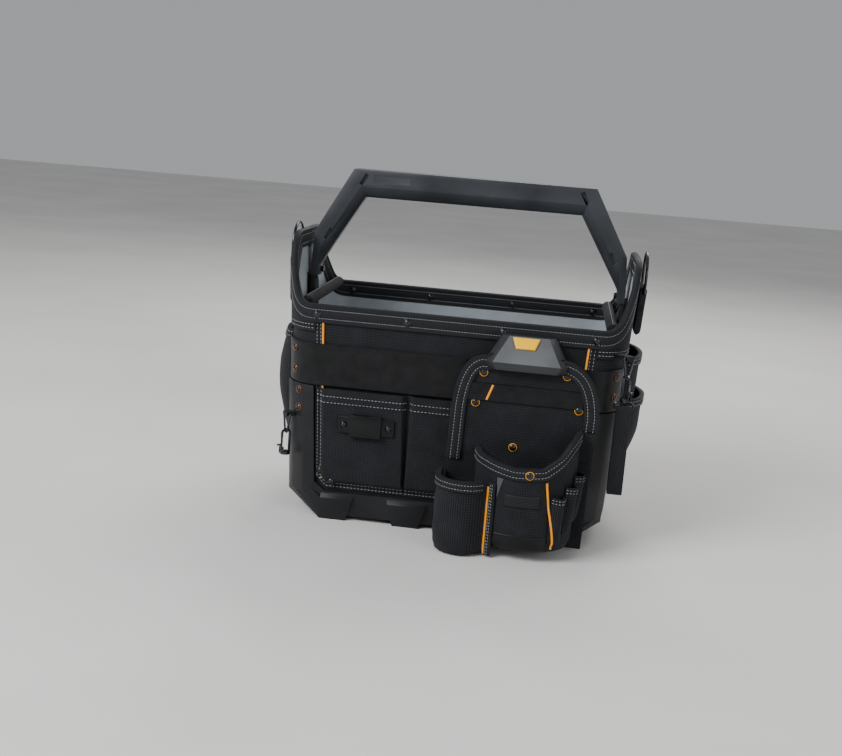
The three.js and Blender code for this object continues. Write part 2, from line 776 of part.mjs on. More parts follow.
// Stations of one side of the handle from the post's foot to the top: outer and inner points.
const handlePostInner = handlePostHalf - handlePostThickness;
const handleStations = [
  { outer: [handlePostHalf, handlePostBottom], inner: [handlePostInner, handlePostBottom] },
  { outer: [handlePostHalf, handleKneeHeight], inner: [handlePostInner, handleKneeHeight] },
  { outer: [handleBendHalf, handleBendHeight], inner: [handleInnerBendHalf, handleInnerBendHeight] },
  { outer: [handleTopHalf, handleTop], inner: [handleInnerTopHalf, handleTop - handleBarHeight] },
];

function handle() {
  const way = [
    ...handleStations.map((row) => ({ ...row, side: -1 })),
    ...handleStations.map((row) => ({ ...row, side: 1 })).reverse(),
  ];
  const half = handleDepth / 2;
  const section = [
    [0, -half], [handleFaceShare, -half], [handleChamferShare, -half + handleChamferDepth],
    [1, -half + 2 * handleChamferDepth], [1, half - 2 * handleChamferDepth],
    [handleChamferShare, half - handleChamferDepth], [handleFaceShare, half], [0, half],
  ];
  const across = ({ outer, inner, side }, share) => [0, 1].map((axis) =>
    THREE.MathUtils.lerp(outer[axis], inner[axis], share) * (axis ? 1 : side));
  const bar = stack(way.map((station) => section.map(([share, y]) => {
    const [x, z] = across(station, share);
    return new THREE.Vector3(x, y, z);
  })));
  const armAngle = Math.atan2(handleTop - handleBendHeight, handleBendHalf - handleTopHalf);
  const recesses = [];
  for (const side of [-1, 1]) {
    for (const back of [-1, 1]) {
      for (const [x, z] of handleSlots) {
        const recess = new THREE.BoxGeometry(handleSlotLength, 2 * handleSlotDepth, handleSlotWidth);
        recess.rotateY(side * armAngle).translate(side * x, back * half, z);
        recesses.push(recess);
      }
    }
  }
  const labelHeight = handleTop - handleLabelDrop;
  const [labelHalf, labelRise] = [handleLabelLength / 2, handleLabelWidth / 2];
  recesses.push(block(
    [handleLabelCentre - labelHalf, -half - 1, labelHeight - labelRise],
    [handleLabelCentre + labelHalf, -half + handleLabelDepth, labelHeight + labelRise]));
  add("handle_frame", cut(bar, ...recesses), finishes.handlePlastic);

  const inside = -clothThickness - gap - liningThickness - gap;
  for (const [side, name] of [[-1, "left"], [1, "right"]]) {
    const stations = [-bracketWidth / 2, 0, bracketWidth / 2].map((step) => side * quarter + step);
    add(`handle_bracket_${name}`, panel(bodyWall, stations, [0, 0.5, 1], () => bracketBottom,
      () => handlePostBottom - gap, inside - bracketThickness, inside), finishes.foam);
    const boltMiddle = [side * (handlePostInner - gap - boltHead / 2), 0, boltHeight];
    const bolt = rod("x", boltMiddle, boltRadius, boltHead, 10);
    add(`handle_bolt_${name}`, bolt, finishes.steel);
    const reach = endBarReach();
    const roll = new THREE.CapsuleGeometry(endBarRadius, 2 * (reach - endBarRadius), 4, 12);
    add(`end_bar_${name}`, roll.translate(side * endBarHalf, 0, endBarHeight), finishes.foam);
  }
}

// How far the padded bar runs towards the front before its round end meets the binding.
function endBarReach() {
  const inset = -clothThickness - bindingGap - bindingThickness - gap - endBarRadius;
  let near = frontStraight;
  let far = frontStraight + cornerArc;
  for (let i = 0; i < 30; i++) {
    const middle = (near + far) / 2;
    if (bodyWall(middle, endBarHeight, inset).x < endBarHalf) near = middle;
    else far = middle;
  }
  return -bodyWall(near, endBarHeight, inset).y + endBarRadius;
}

// Tab and strap ring outside each raised end.
function sideTabs() {
  const seat = gap + collarThickness + gap;
  const ringOut = sideTabStand + sideTabThickness / 2;
  const ringHeight = sideTabTop - strapRingDrop;
  for (const [side, name] of [[-1, "left"], [1, "right"]]) {
    const strip = (half) => [-half, 0, half].map((step) => side * quarter + step);
    const bar = bodyWall(side * quarter, ringHeight, ringOut);
    const plate = panel(bodyWall, strip(sideTabWidth / 2), [0, 1], () => sideTabBottom, () => sideTabTop,
      sideTabStand, sideTabStand + sideTabThickness);
    const spacer = panel(bodyWall, strip(sideTabSpacer / 2), [0, 1],
      () => sideTabBottom + sideTabSpacerInset, () => sideTabTop - sideTabSpacerInset,
      seat, sideTabStand + 1);
    const bore = rod("y", bar.toArray(), strapRingWire + gap, sideTabWidth + 4, 12);
    add(`side_tab_${name}`, cut(joined(plate, spacer), bore), finishes.webbing);
    const half = strapRingWidth / 2 + 8;
    const roundTop = arc([0, strapRingTop - half], half, 12, 168, 8);
    const path = [[-half, ringHeight], ...roundTop.reverse(), [half, ringHeight]];
    add(`strap_ring_${name}`, planarSweep(path, roundSection(strapRingWire),
      (across, out, up) => new THREE.Vector3(bar.x + out, across, up), true), finishes.steel);
  }
}

// Pockets on the ends.

function endPockets() {
  const across = (around) => (Math.abs(around) - quarter) / endPocketHalf;
  const belly = (around) => Math.sqrt(Math.max(0, 1 - across(around) ** 2));
  const ease = (share) => THREE.MathUtils.smoothstep(share, 0, 1);
  const bow = (level) => Math.sin(Math.PI * bowShare * THREE.MathUtils.clamp(level, 0, 1.1));
  const levelOf = (height, top) => (height - endPocketBottom) / (top - endPocketBottom);
  const full = 0.5;
  const pockets = [
    { name: "left", side: -1, top: bowTop, from: gap,
      bulge: (around, height) => bowBulge * belly(around) * bow(levelOf(height, bowTop)) },
    { name: "right", side: 1, top: backTierTop, from: gap,
      bulge: (around, height) => backTierBulge * belly(around) * ease(levelOf(height, backTierTop) / full) },
    { name: "right_front", side: 1, top: frontTierTop, from: 2 * gap + endPocketCloth,
      bulge: (around, height) => belly(around) * (backTierBulge * ease(levelOf(height, backTierTop) / full)
        + frontTierBulge * ease(levelOf(height, frontTierTop) / full)) },
  ];
  const angles = steps(-90, 90, 8).map((a) => Math.sin(THREE.MathUtils.degToRad(a)) * endPocketHalf);
  for (const { name, side, top, from, bulge } of pockets) {
    const wall = (around, height, out) => bodyWall(around, height, from + bulge(around, height) + out);
    const stations = angles.map((step) => side * quarter + step);
    const heights = [...endPocketHeights.filter((height) => height < top - endBindingWidth - 1),
      top - endBindingWidth, top];
    add(`end_pocket_${name}`, panel(wall, stations, heights.map((height) => levelOf(height, top)),
      () => endPocketBottom, () => top, 0, endPocketCloth), finishes.blackCloth);
    const rim = stations.slice(1, -1).map((along) => ({ along, height: top }));
    add(`end_pocket_${name}_binding`, binding(wall, rim, { inner: 0, outer: endPocketCloth,
      width: endBindingWidth, thickness: endBindingThickness, legSteps: 1 }), finishes.blackCloth);
  }
}

// Snap hooks.

// A frame on the wall for hardware that hangs from a tab: across points out of the wall, and out runs
// along it.
function hangingFrame(around, height, stand) {
  const seat = bodyWall(around, height, 0);
  const hang = bodyWall(around, height, stand);
  const frame = new THREE.Group();
  frame.position.copy(hang);
  frame.rotation.z = Math.atan2(hang.y - seat.y, hang.x - seat.x);
  return frame;
}

// Tab, ring, hook and gate. seatOut is the face of the wall that the tab is sewn or riveted to.
function snapHook({ around, height, stand, seatOut, bored, names }) {
  const frame = hangingFrame(around, height, stand);
  group.add(frame);
  const place = (across, out, up) => new THREE.Vector3(across, out, up);
  const ringPlace = (across, out, up) => new THREE.Vector3(out, across, up);
  const tab = cut(block([-(stand - seatOut - gap), -tabWidth / 2, -tabThickness / 2],
    [hookRingWire + gap + 1.2, tabWidth / 2, tabThickness / 2]),
    rod("y", [0, 0, 0], hookRingWire + gap, tabWidth + 4, 10));
  add(names.tab, tab, finishes.webbing, frame);
  const half = hookRingWidth / 2;
  const apexBend = hookRingWire + hookWire + 2 * gap;
  const apex = arc([0, -hookRingDrop], apexBend, apexFrom, apexTo, 6);
  add(names.ring, planarSweep([[half, 0], [-half, 0], ...apex],
    roundSection(hookRingWire), ringPlace, true), finishes.steel, frame);

  const top = -hookRingDrop - apexBend + hookRingWire + gap + hookWire;
  const bendHeight = top - hookBend;
  const foot = top - hookLength;
  const shank = planarSweep([[-hookBend, foot + 1], [-hookBend, bendHeight],
    ...arc([0, bendHeight], hookBend, 180, 0, 8).slice(1), [hookBend, bendHeight - hookTipDrop]],
    roundSection(hookWire), place, false);
  const base = new THREE.CylinderGeometry(hookBaseRadius, hookBaseRadius, hookBaseHeight, 12)
    .rotateX(Math.PI / 2).translate(0, 0, foot + hookBaseHeight / 2 - 1);
  const pivot = [hookBend, 0, foot + hookBaseHeight - 1 + gatePivotRise];
  const lugs = [-1, 1].map((side) => {
    const near = side * (gateWire + gap);
    const far = side * (gateWire + gap + gateLugThickness);
    return block([hookBend - 2, Math.min(near, far), foot],
      [hookBend + 2, Math.max(near, far), pivot[2] + 2]);
  });
  const bore = rod("z", [0, 0, foot], stemRadius + gap, 4 * hookBaseHeight, 10);
  const pinBore = rod("y", pivot, gatePinRadius + gap, 4 * hookBaseHeight, 8);
  const bores = bored ? [bore, pinBore] : [pinBore];
  add(names.hook, cut(joined(shank, base, ...lugs), ...bores), finishes.steel, frame);

  const tip = bendHeight - hookTipDrop - gap;
  const gateFoot = pivot[2] - gateWire;
  const gateBar = rod("z", [hookBend, 0, (gateFoot + tip) / 2], gateWire, tip - gateFoot, 8);
  const pin = rod("y", pivot, gatePinRadius, 2 * (gateWire + gap + gateLugThickness), 8);
  const leverHalf = 0.8 * gateWire;
  const lever = block([hookBend, -leverHalf, pivot[2] + gateLeverRise],
    [hookBend + gateLeverLength, leverHalf, pivot[2] + gateLeverRise + gateLeverThickness]);
  add(names.gate, joined(gateBar, pin, lever), finishes.steel, frame);
  return { frame, foot };
}

function hardware() {
  snapHook({ around: -leftHookCorner, height: leftRingTop, stand: leftHookStand,
    seatOut: trayGap + trayThickness, bored: false,
    names: { tab: "left_tab", ring: "left_ring", hook: "left_hook", gate: "left_gate" } });
  const { frame, foot } = snapHook({ around: hookCorner, height: hookRingTop, stand: hookStand,
    seatOut: gap + collarThickness, bored: true,
    names: { tab: "corner_tab", ring: "hook_ring", hook: "snap_hook", gate: "hook_gate" } });
  const swivel = new THREE.Group();
  swivel.rotation.z = -frame.rotation.z;
  frame.add(swivel);
  const place = (across, out, up) => new THREE.Vector3(across, out, up);
  const baseBottom = foot - 1;
  const baseTop = baseBottom + hookBaseHeight;
  const eyeTop = baseBottom - gap - eyeWire;
  const eyeBottom = eyeTop - eyeHeight + 2 * eyeWire;
  const half = eyeWidth / 2 - eyeWire;
  const corner = eyeCorner;
  const path = [
    ...arc([half - corner, eyeTop - corner], corner, 90, 0, 2),
    ...arc([half - 1, eyeBottom + 1], 1, 0, -90, 1),
    ...arc([-half + 1, eyeBottom + 1], 1, -90, -180, 1),
    ...arc([-half + corner, eyeTop - corner], corner, 180, 90, 2),
  ];
  const loop = planarSweep(path, roundSection(eyeWire), place, true);
  const stemTop = baseTop + gap + stemHeadHeight;
  const stem = rod("z", [0, 0, (eyeTop + stemTop) / 2], stemRadius, stemTop - eyeTop, 10);
  const head = rod("z", [0, 0, stemTop - stemHeadHeight / 2], stemHeadRadius, stemHeadHeight, 12);
  add("swivel_eye", joined(loop, stem, head), finishes.steel, swivel);

  const topBend = eyeWire + gap + strapThickness / 2;
  const low = eyeBottom - strapLength + strapBend;
  const lean = THREE.MathUtils.radToDeg(Math.asin((strapBend - topBend) / (eyeBottom - low)));
  const band = [
    ...arc([0, eyeBottom], topBend, 180 + lean, -lean, 6),
    ...arc([0, low], strapBend, -lean, -180 + lean, 8),
  ];
  const strip = [[-strapThickness / 2, -strapWidth / 2], [strapThickness / 2, -strapWidth / 2],
    [strapThickness / 2, strapWidth / 2], [-strapThickness / 2, strapWidth / 2]];
  add("loop_strap", planarSweep(band, strip,
    (across, out, up) => new THREE.Vector3(out, across, up), true), finishes.webbing, swivel);
}

// Pouch.

const pouchFace = pouchBackFace - pouchPanelThickness;

// The outline of the pouch's back panel, from its lower left corner over the arch to the lower right.
function pouchOutline() {
  const shoulder = pouchArchTop - pouchShoulderHeight;
  const shape = new THREE.Shape();
  shape.moveTo(pouchLeft, pouchBottom);
  shape.lineTo(pouchLeft + pouchLean, shoulder);
  shape.quadraticCurveTo(pouchLeft + 2 * pouchLean, pouchArchTop - 6,
    pouchLeft + pouchLean + pouchShoulderLeft, pouchArchTop - 2);
  shape.lineTo(pouchRight - pouchShoulderRight, pouchArchTop);
  shape.quadraticCurveTo(pouchRight - pouchLean, pouchArchTop - 6, pouchRight, shoulder);
  shape.lineTo(pouchRight - pouchLean, pouchBottom);
  shape.closePath();
  return shape;
}

// The pouch's main pocket in plan: half of a rounded box against the back panel.
class PocketFront extends THREE.Curve {
  getPoint(share, target = new THREE.Vector3()) {
    const angle = Math.PI * share;
    const power = 2 / mainRoundness;
    const run = Math.sign(Math.cos(angle)) * Math.abs(Math.cos(angle)) ** power;
    return target.set(mainCentre - mainHalf * run,
      pouchFace - gap - (mainDepth - gap) * Math.abs(Math.sin(angle)) ** power, 0);
  }
}

// A wall that stands on a curve in plan.
const curveWall = (curve) => (share, height, out) => {
  const at = THREE.MathUtils.clamp(share, 0, 1);
  const point = curve.getPoint(at);
  const tangent = curve.getTangent(at);
  return new THREE.Vector3(point.x + tangent.y * out, point.y - tangent.x * out, height);
};

const mainRim = [
  { share: 0, rise: 0.25 },
  { share: 0.25, rise: 0.15 },
  { share: 0.45, rise: 0 },
  { share: 0.6, rise: 0.05 },
  { share: 0.72, rise: 0.4 },
  { share: 0.8, rise: 0.72 },
  { share: 0.9, rise: 0.95 },
  { share: 1, rise: 1 },
];

function pouch() {
  const outline = pouchOutline();
  const panelBody = new THREE.ExtrudeGeometry(outline, {
    depth: pouchPanelThickness, bevelEnabled: false, curveSegments: 6 });
  add("pouch_back", panelBody.rotateX(Math.PI / 2).translate(0, pouchBackFace, 0), finishes.blackCloth);

  const edge = outline.getPoints(6).slice(0, -1).map((point) => ({ along: point.x, height: point.y }));
  const flat = (x, z, out) => new THREE.Vector3(x, pouchFace - out, z);
  const cutHigh = (from, to, share) => ({
    along: THREE.MathUtils.lerp(from.along, to.along, share),
    height: THREE.MathUtils.lerp(from.height, to.height, share) });
  const over = [
    cutHigh(edge[0], edge[1], 0.6), ...edge.slice(1, -1), cutHigh(edge.at(-2), edge.at(-1), 0.1)];
  add("pouch_back_binding", binding(flat, over, { inner: -pouchPanelThickness, outer: 0,
    width: pouchBindingWidth, thickness: pouchBindingThickness, legSteps: 1 }), finishes.blackCloth);
  const labelFace = pouchFace - gap;
  add("pouch_label", block([pouchLabelLeft, labelFace - pouchLabelThickness, pouchLabelBottom],
    [pouchLabelRight, labelFace, pouchLabelTop]), finishes.smoothBand);

  const front = new PocketFront();
  const mainWall = curveWall(front);
  const rimHeightAt = (share) => mainRimLow + mainRimRise * interpolate(mainRim, "share", "rise", share);
  const mainStations = steps(0, 1, 20);
  const plan = (wall, shares, out) => shares.map((share) => wall(share, 0, out));
  const floorOf = (points, bottom) => new THREE.ExtrudeGeometry(
    new THREE.Shape(points.map((p) => new THREE.Vector2(p.x, p.y))),
    { depth: pouchCloth, bevelEnabled: false }).translate(0, 0, bottom);
  const mainWalls = panel(mainWall, mainStations, [0, 0.5, 1], () => mainBottom, rimHeightAt,
    -pouchCloth, 0);
  const mainFloor = floorOf(plan(mainWall, mainStations, -pouchCloth / 2), mainBottom);
  add("pouch_pocket_main", joined(mainWalls, mainFloor), finishes.blackCloth);
  const rim = mainStations.slice(1, -1).map((along) => ({ along, height: rimHeightAt(along) }));
  const perShare = front.getLength();
  const scaled = (wall) => (along, height, out) => wall(along / perShare, height, out);
  add("pouch_pocket_binding", binding(scaled(mainWall),
    rim.map(({ along, height }) => ({ along: along * perShare, height })),
    { inner: -pouchCloth, outer: 0, width: pouchBindingWidth * 0.8, thickness: pouchBindingThickness,
      legSteps: 1 }), finishes.blackCloth);

  const seam = steps(seamFrom, seamTo, 3).map((along) => mainWall(along / perShare, 0, gap));
  const depth = pouchFace - gap;
  const bulgePoints = [
    { across: pouchLeft, reach: gap / sideReach },
    { across: 0, reach: 0.35 },
    { across: pouchLeft, reach: 0.75 },
    { across: pouchLeft + sideShoulder, reach: 0.98 },
    { across: pouchLeft + sideFront, reach: 1 },
  ].map(({ across, reach }) => new THREE.Vector3(across, depth - sideReach * reach, 0));
  const sideCurve = new THREE.CatmullRomCurve3([...bulgePoints, ...seam], false, "centripetal");
  const sideWall = curveWall(sideCurve);
  const sideStations = steps(0, 1, 18);
  const sideWalls = panel(sideWall, sideStations, [0, 0.5, 1], () => sideBottom, () => sideRim,
    0, pouchCloth);
  const behind = steps(seamTo, 0, 6).map((along) => mainWall(along / perShare, 0, gap));
  const sidePlan = [...plan(sideWall, sideStations, pouchCloth / 2), ...behind.slice(1)];
  const sideFloor = floorOf(sidePlan, sideBottom);
  add("pouch_pocket_left", joined(sideWalls, sideFloor), finishes.blackCloth);
  const sideLength = sideCurve.getLength();
  const sideRimWay = sideStations.filter((share) => share > 0.05 && share < sideBindingEnd)
    .map((share) => ({ along: share * sideLength, height: sideRim }));
  const sideBound = (along, height, out) => sideWall(along / sideLength, height, out);
  add("pouch_pocket_left_binding", binding(sideBound, sideRimWay, { inner: 0, outer: pouchCloth,
    width: pouchBindingWidth * 0.7, thickness: pouchBindingThickness, legSteps: 1 }), finishes.blackCloth);

  // Narrow loops in a row round the right of the main pocket, tapering to the bottom.
  for (let i = 0; i < slotCount; i++) {
    const from = (slotFrom + i * slotWidth) / perShare;
    const to = from + (slotWidth - slotSeam) / perShare;
    const bottom = slotBottom + i * slotStep;
    const top = slotTop + i * slotStep;
    const wall = (share, height, out) => mainWall(share, height, gap + out + slotBulge
      * Math.sin(Math.PI * THREE.MathUtils.clamp((share - from) / (to - from), 0, 1))
      * Math.sqrt((height - bottom) / (top - bottom)));
    add(`pouch_slot_${i + 1}`, panel(wall, steps(from, to, 6), [0, 0.25, 0.6, 1], () => bottom, () => top,
      0, pouchCloth), finishes.blackCloth);
  }
}

// The hub hangs over the panel's bound top edge.
function hub() {
  const back = -bodyDepth / 2 - bindingGap - bindingThickness - gap;
  const ring = (half, face, height) => [
    [-half, back], [-half, face + hubFacetInset], [-half + hubFacetInset, face],
    [half - hubFacetInset, face], [half, face + hubFacetInset], [half, back],
  ].map(([x, y]) => new THREE.Vector3(hubCentre + x, y, height));
  const shell = stack([
    ring(hubBottomHalf, hubBottomFace, hubBottom),
    ring(hubMiddleHalf, hubMiddleFace, hubMiddle),
    ring(hubTopHalf, hubTopFace, hubTop),
  ]);
  const bound = bindingGap + pouchBindingThickness + gap;
  const slot = block([hubCentre - 2 * hubMiddleHalf, pouchFace - bound, hubBottom - 1],
    [hubCentre + 2 * hubMiddleHalf, pouchBackFace + bound, pouchArchTop + bound]);
  add("pouch_hub", cut(shell, slot), finishes.hubPlastic);

  const down = new THREE.Vector3(0, hubMiddleFace - hubTopFace, hubMiddle - hubTop).normalize();
  const outward = new THREE.Vector3(0, down.z, -down.y);
  const start = new THREE.Vector3(buttonCentre, hubTopFace, hubTop);
  const outline = [
    [-buttonHalfTop, buttonInset], [buttonHalfTop, buttonInset],
    [buttonHalfBottom, buttonInset + buttonLength], [-buttonHalfBottom, buttonInset + buttonLength],
  ];
  const buttonMiddle = buttonInset + buttonLength / 2;
  const face = (shrink, out) => outline.map(([x, along]) => start.clone()
    .add(new THREE.Vector3(x * shrink, 0, 0))
    .addScaledVector(down, buttonMiddle + (along - buttonMiddle) * shrink)
    .addScaledVector(outward, out));
  add("pouch_button", stack([face(1, gap), face(1, gap + buttonThickness * 0.6),
    face(buttonShrink, gap + buttonThickness)]), finishes.yellowPlastic);
}

clothBody();
baseTray();
frontPockets();
clipPlate();
handle();
sideTabs();
endPockets();
hardware();
pouch();
hub();

// The part stands with the middle of its box over the origin.
const box = new THREE.Box3().setFromObject(group);
group.position.set(-(box.min.x + box.max.x) / 2, -(box.min.y + box.max.y) / 2, -box.min.z);

export default group;
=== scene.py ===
# Open top tool tote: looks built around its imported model.
# Metres in the scene; sizes below are in millimetres from the middle of the cloth body, at floor level,
# with +X to the right end, +Y to the back and +Z up.
import math

import bmesh
import bpy
from mathutils import Matrix, Vector, noise


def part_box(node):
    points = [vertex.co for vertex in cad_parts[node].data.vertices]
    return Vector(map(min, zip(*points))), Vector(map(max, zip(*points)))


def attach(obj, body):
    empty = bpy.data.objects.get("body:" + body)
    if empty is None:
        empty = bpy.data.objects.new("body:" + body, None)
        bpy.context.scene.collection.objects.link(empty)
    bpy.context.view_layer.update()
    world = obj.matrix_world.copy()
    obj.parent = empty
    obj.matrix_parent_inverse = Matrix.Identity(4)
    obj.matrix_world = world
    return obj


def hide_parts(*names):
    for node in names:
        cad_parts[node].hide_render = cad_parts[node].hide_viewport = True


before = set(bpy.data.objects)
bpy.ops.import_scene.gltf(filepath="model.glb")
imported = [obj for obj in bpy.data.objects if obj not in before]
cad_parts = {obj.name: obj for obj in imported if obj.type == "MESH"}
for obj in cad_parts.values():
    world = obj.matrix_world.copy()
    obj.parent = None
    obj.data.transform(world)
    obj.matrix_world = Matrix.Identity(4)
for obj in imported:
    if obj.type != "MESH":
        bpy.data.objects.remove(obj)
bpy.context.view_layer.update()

# Camera, studio light and floor.
# The camera stands where the photograph was taken: in front, a little to the right, looking down, and
# tilted, because the tote hangs at a slight angle there. The floor is a plain pale one.
body_low, body_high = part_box("body_shell")
middle = Vector(((body_low.x + body_high.x) / 2, (body_low.y + body_high.y) / 2, 0))


def at(x, y, z):
    return Vector((x, y, z)) * 0.001 + middle


def put(name, data):
    """A new object in the scene."""
    made = bpy.data.objects.new(name, data)
    bpy.context.scene.collection.objects.link(made)
    return made


yaw, pitch, roll = 0.10572, 0.20736, 0.079224
sensor_width, photo_width, focal_pixels = 36, 842, 1200.007
forward = Vector((-math.sin(yaw) * math.cos(pitch), math.cos(yaw) * math.cos(pitch), -math.sin(pitch)))
level = Vector((math.cos(yaw), math.sin(yaw), 0))
above = level.cross(forward)
camera_right = level * math.cos(roll) + above * math.sin(roll)
camera_up = above * math.cos(roll) - level * math.sin(roll)
camera = put("camera", bpy.data.cameras.new("camera"))
camera.data.sensor_width = sensor_width
camera.data.lens = focal_pixels / photo_width * sensor_width
turned = Matrix((camera_right, camera_up, -forward)).transposed().to_4x4()
camera.matrix_world = Matrix.Translation(at(111.59, -1510.12, 479.77)) @ turned
bpy.context.scene.camera = camera


def area_light(name, place, aim, width, height, energy, colour):
    data = bpy.data.lights.new(name, "AREA")
    data.shape = "RECTANGLE"
    data.size, data.size_y = width, height
    data.energy = energy
    data.color = colour
    lamp = put(name, data)
    lamp.location = place
    lamp.rotation_euler = (Vector(aim) - Vector(place)).to_track_quat("-Z", "Y").to_euler()


area_light("window", (-1.5, -1.5, 1.7), (0, 0, 0.15), 1.3, 1.0, 78, (0.94, 0.97, 1.0))
area_light("fill", (1.9, -1.6, 0.9), (0, 0, 0.2), 1.4, 1.2, 18, (0.92, 0.96, 1.0))
area_light("rear", (0.5, 1.7, 1.9), (0, 0, 0.25), 1.8, 0.9, 40, (1.0, 1.0, 1.0))
world = bpy.data.worlds.new("studio")
bpy.context.scene.world = world
world.use_nodes = True
world.node_tree.nodes["Background"].inputs["Color"].default_value = (0.82, 0.85, 0.88, 1)
world.node_tree.nodes["Background"].inputs["Strength"].default_value = 0.45


def finish(name, **constants):
    """A material with its constant values set on the shader's own sockets, and its tree."""
    material = bpy.data.materials.new(name)
    material.use_nodes = True
    for socket, value in constants.items():
        material.node_tree.nodes["Principled BSDF"].inputs[socket.replace("_", " ")].default_value = value
    return material, material.node_tree


def node(tree, kind, settings=None, **inputs):
    """A node. Inputs go by name, or by number after an underline. A socket that is given is linked."""
    made = tree.nodes.new(kind)
    for key, value in (settings or {}).items():
        setattr(made, key, value)
    for key, value in inputs.items():
        socket = made.inputs[int(key[1:])] if key[1:].isdigit() else made.inputs[key.replace("_", " ")]
        if isinstance(value, bpy.types.NodeSocket):
            tree.links.new(value, socket)
        else:
            socket.default_value = value
    return made


def in_space(tree):
    return node(tree, "ShaderNodeTexCoord").outputs["Object"]


def on_cloth(tree):
    return node(tree, "ShaderNodeUVMap", {"uv_map": "cloth"}).outputs["UV"]


def specks(tree, place, scale, detail):
    return node(tree, "ShaderNodeTexNoise", Vector=place, Scale=scale, Detail=detail).outputs["Fac"]


def waves(tree, place, direction, pitch, distortion, detail):
    return node(tree, "ShaderNodeTexWave", {"bands_direction": direction}, Vector=place,
                Scale=0.1 * math.pi / pitch, Distortion=distortion, Detail=detail).outputs["Fac"]


def scaled(tree, value, factor, added=0.0):
    return node(tree, "ShaderNodeMath", {"operation": "MULTIPLY_ADD"}, _0=value, _1=factor,
                _2=added).outputs[0]


def ramp(tree, factor, low, dark, high, light):
    """Colours or plain values between two stops."""
    made = node(tree, "ShaderNodeValToRGB", Fac=factor)
    for element, position, colour in zip(made.color_ramp.elements, (low, high), (dark, light)):
        element.position = position
        element.color = (*colour, 1) if hasattr(colour, "__len__") else (colour, colour, colour, 1)
    return made.outputs["Color"]


def dress(tree, colour, roughness=None, **relief):
    """Links a material's colour and roughness, and a bump with the inputs that are given."""
    shader = tree.nodes["Principled BSDF"]
    tree.links.new(colour, shader.inputs["Base Color"])
    if roughness:
        tree.links.new(roughness, shader.inputs["Roughness"])
    if relief:
        tree.links.new(node(tree, "ShaderNodeBump", **relief).outputs["Normal"], shader.inputs["Normal"])


floor_finish, tree = finish("floor_paint", Roughness=0.7)
cloudy = specks(tree, in_space(tree), 2.5, 6.0)
dress(tree, ramp(tree, cloudy, 0.3, (0.62, 0.6, 0.57), 0.7, (0.7, 0.68, 0.65)))
bpy.ops.mesh.primitive_plane_add(size=14)
floor = bpy.context.object
floor.name = "floor"
floor.data.materials.append(floor_finish)

# Cloth body: shell and lining.
# A stiff black woven body on a moulded base. The long sides are straight, the ends lean out a little
# and rise to two ears, and a pale blue-grey lining is sewn in all over.
rim_level, ear_top, half_depth = 261, 340, 120
body_end = ((9, 163), (30, 193), (rim_level, 205), (ear_top, 209))
corner_x, corner_y = 37, 50
front_half, end_half = 168, 70
corner_arc = math.pi / 2 * math.sqrt((corner_x ** 2 + corner_y ** 2) / 2)
quarter = front_half + corner_arc + end_half
half_way, whole_way = 2 * quarter, 4 * quarter
sides = ((-1, "left"), (1, "right"))


def clamp(value, high=1):
    return min(max(value, 0), high)


def eased(value):
    value = clamp(value)
    return value * value * (3 - 2 * value)


def metres(values):
    return [value * 0.001 for value in values]


def steps(start, end, count):
    return [start + (end - start) * i / count for i in range(count + 1)]


def span(start, end, spacing):
    return steps(start, end, max(1, round(abs(end - start) / spacing)))


def turns(count):
    return [2 * math.pi * i / count for i in range(count)]


def neighbours(row, closed):
    """What comes before and after each of a row. In an open row an end is its own neighbour."""
    for i in range(len(row)):
        yield row[i - 1 if i or closed else 0], row[i + 1 if i + 1 < len(row) else 0 if closed else i]


def measured(points):
    """How far along a row each point lies, with the whole way round at the end."""
    way = [0]
    for first, second in zip(points, points[1:] + points[:1]):
        way.append(way[-1] + math.dist(first, second))
    return way


def table_value(table, key):
    for (low, first), (high, second) in zip(table, table[1:]):
        if key <= high:
            break
    return first + (second - first) * (key - low) / (high - low)


def round_way(around):
    return (around + half_way) % whole_way - half_way


def from_front(around):
    """Distance along the rim from the middle of the long side that is nearer."""
    distance = abs(round_way(around))
    return min(distance, half_way - distance)


def wall(around, height, out):
    """A point of the body's wall. around is measured along the rim from the middle of the front."""
    along = from_front(around)
    half = table_value(body_end, height)
    straight = half - corner_x
    if along > front_half + corner_arc:
        x, y = half, along - quarter
        normal = Vector((1, 0))
    elif along > front_half:
        angle = (along - front_half) / corner_arc * math.pi / 2
        x, y = straight + corner_x * math.sin(angle), -end_half - corner_y * math.cos(angle)
        normal = Vector((math.sin(angle) / corner_x, -math.cos(angle) / corner_y)).normalized()
    else:
        x, y = along / front_half * straight, -half_depth
        normal = Vector((0, -1))
    x, y = x + normal.x * out, y + normal.y * out
    return at(-x if round_way(around) < 0 else x, -y if abs(round_way(around)) > quarter else y, height)


ear_start, ear_end, ear_sweep, ear_corner = 9, corner_arc + 21, 30, 26
ear_run, ear_rise = ear_end - ear_start, ear_top - rim_level - ear_sweep - ear_corner
ear_slope = (math.atan2(ear_rise, ear_run)
             + math.asin((ear_sweep + ear_corner) / math.hypot(ear_run, ear_rise)))
sweep_run, corner_run = ear_sweep * math.sin(ear_slope), ear_corner * math.sin(ear_slope)


def mouth(around):
    """Height of the body's edge: level on the long sides, up to the ears on two arcs."""
    run = clamp(from_front(around) - front_half - ear_start, ear_run)
    if run < sweep_run:
        return rim_level + ear_sweep - math.sqrt(ear_sweep ** 2 - run ** 2)
    if run > ear_run - corner_run:
        return ear_top - ear_corner + math.sqrt(ear_corner ** 2 - (ear_run - run) ** 2)
    return rim_level + ear_sweep * (1 - math.cos(ear_slope)) + (run - sweep_run) * math.tan(ear_slope)


def smoothed(mesh, sharp):
    mesh.polygons.foreach_set("use_smooth", [True] * len(mesh.polygons))
    mesh.set_sharp_from_angle(angle=math.radians(sharp))


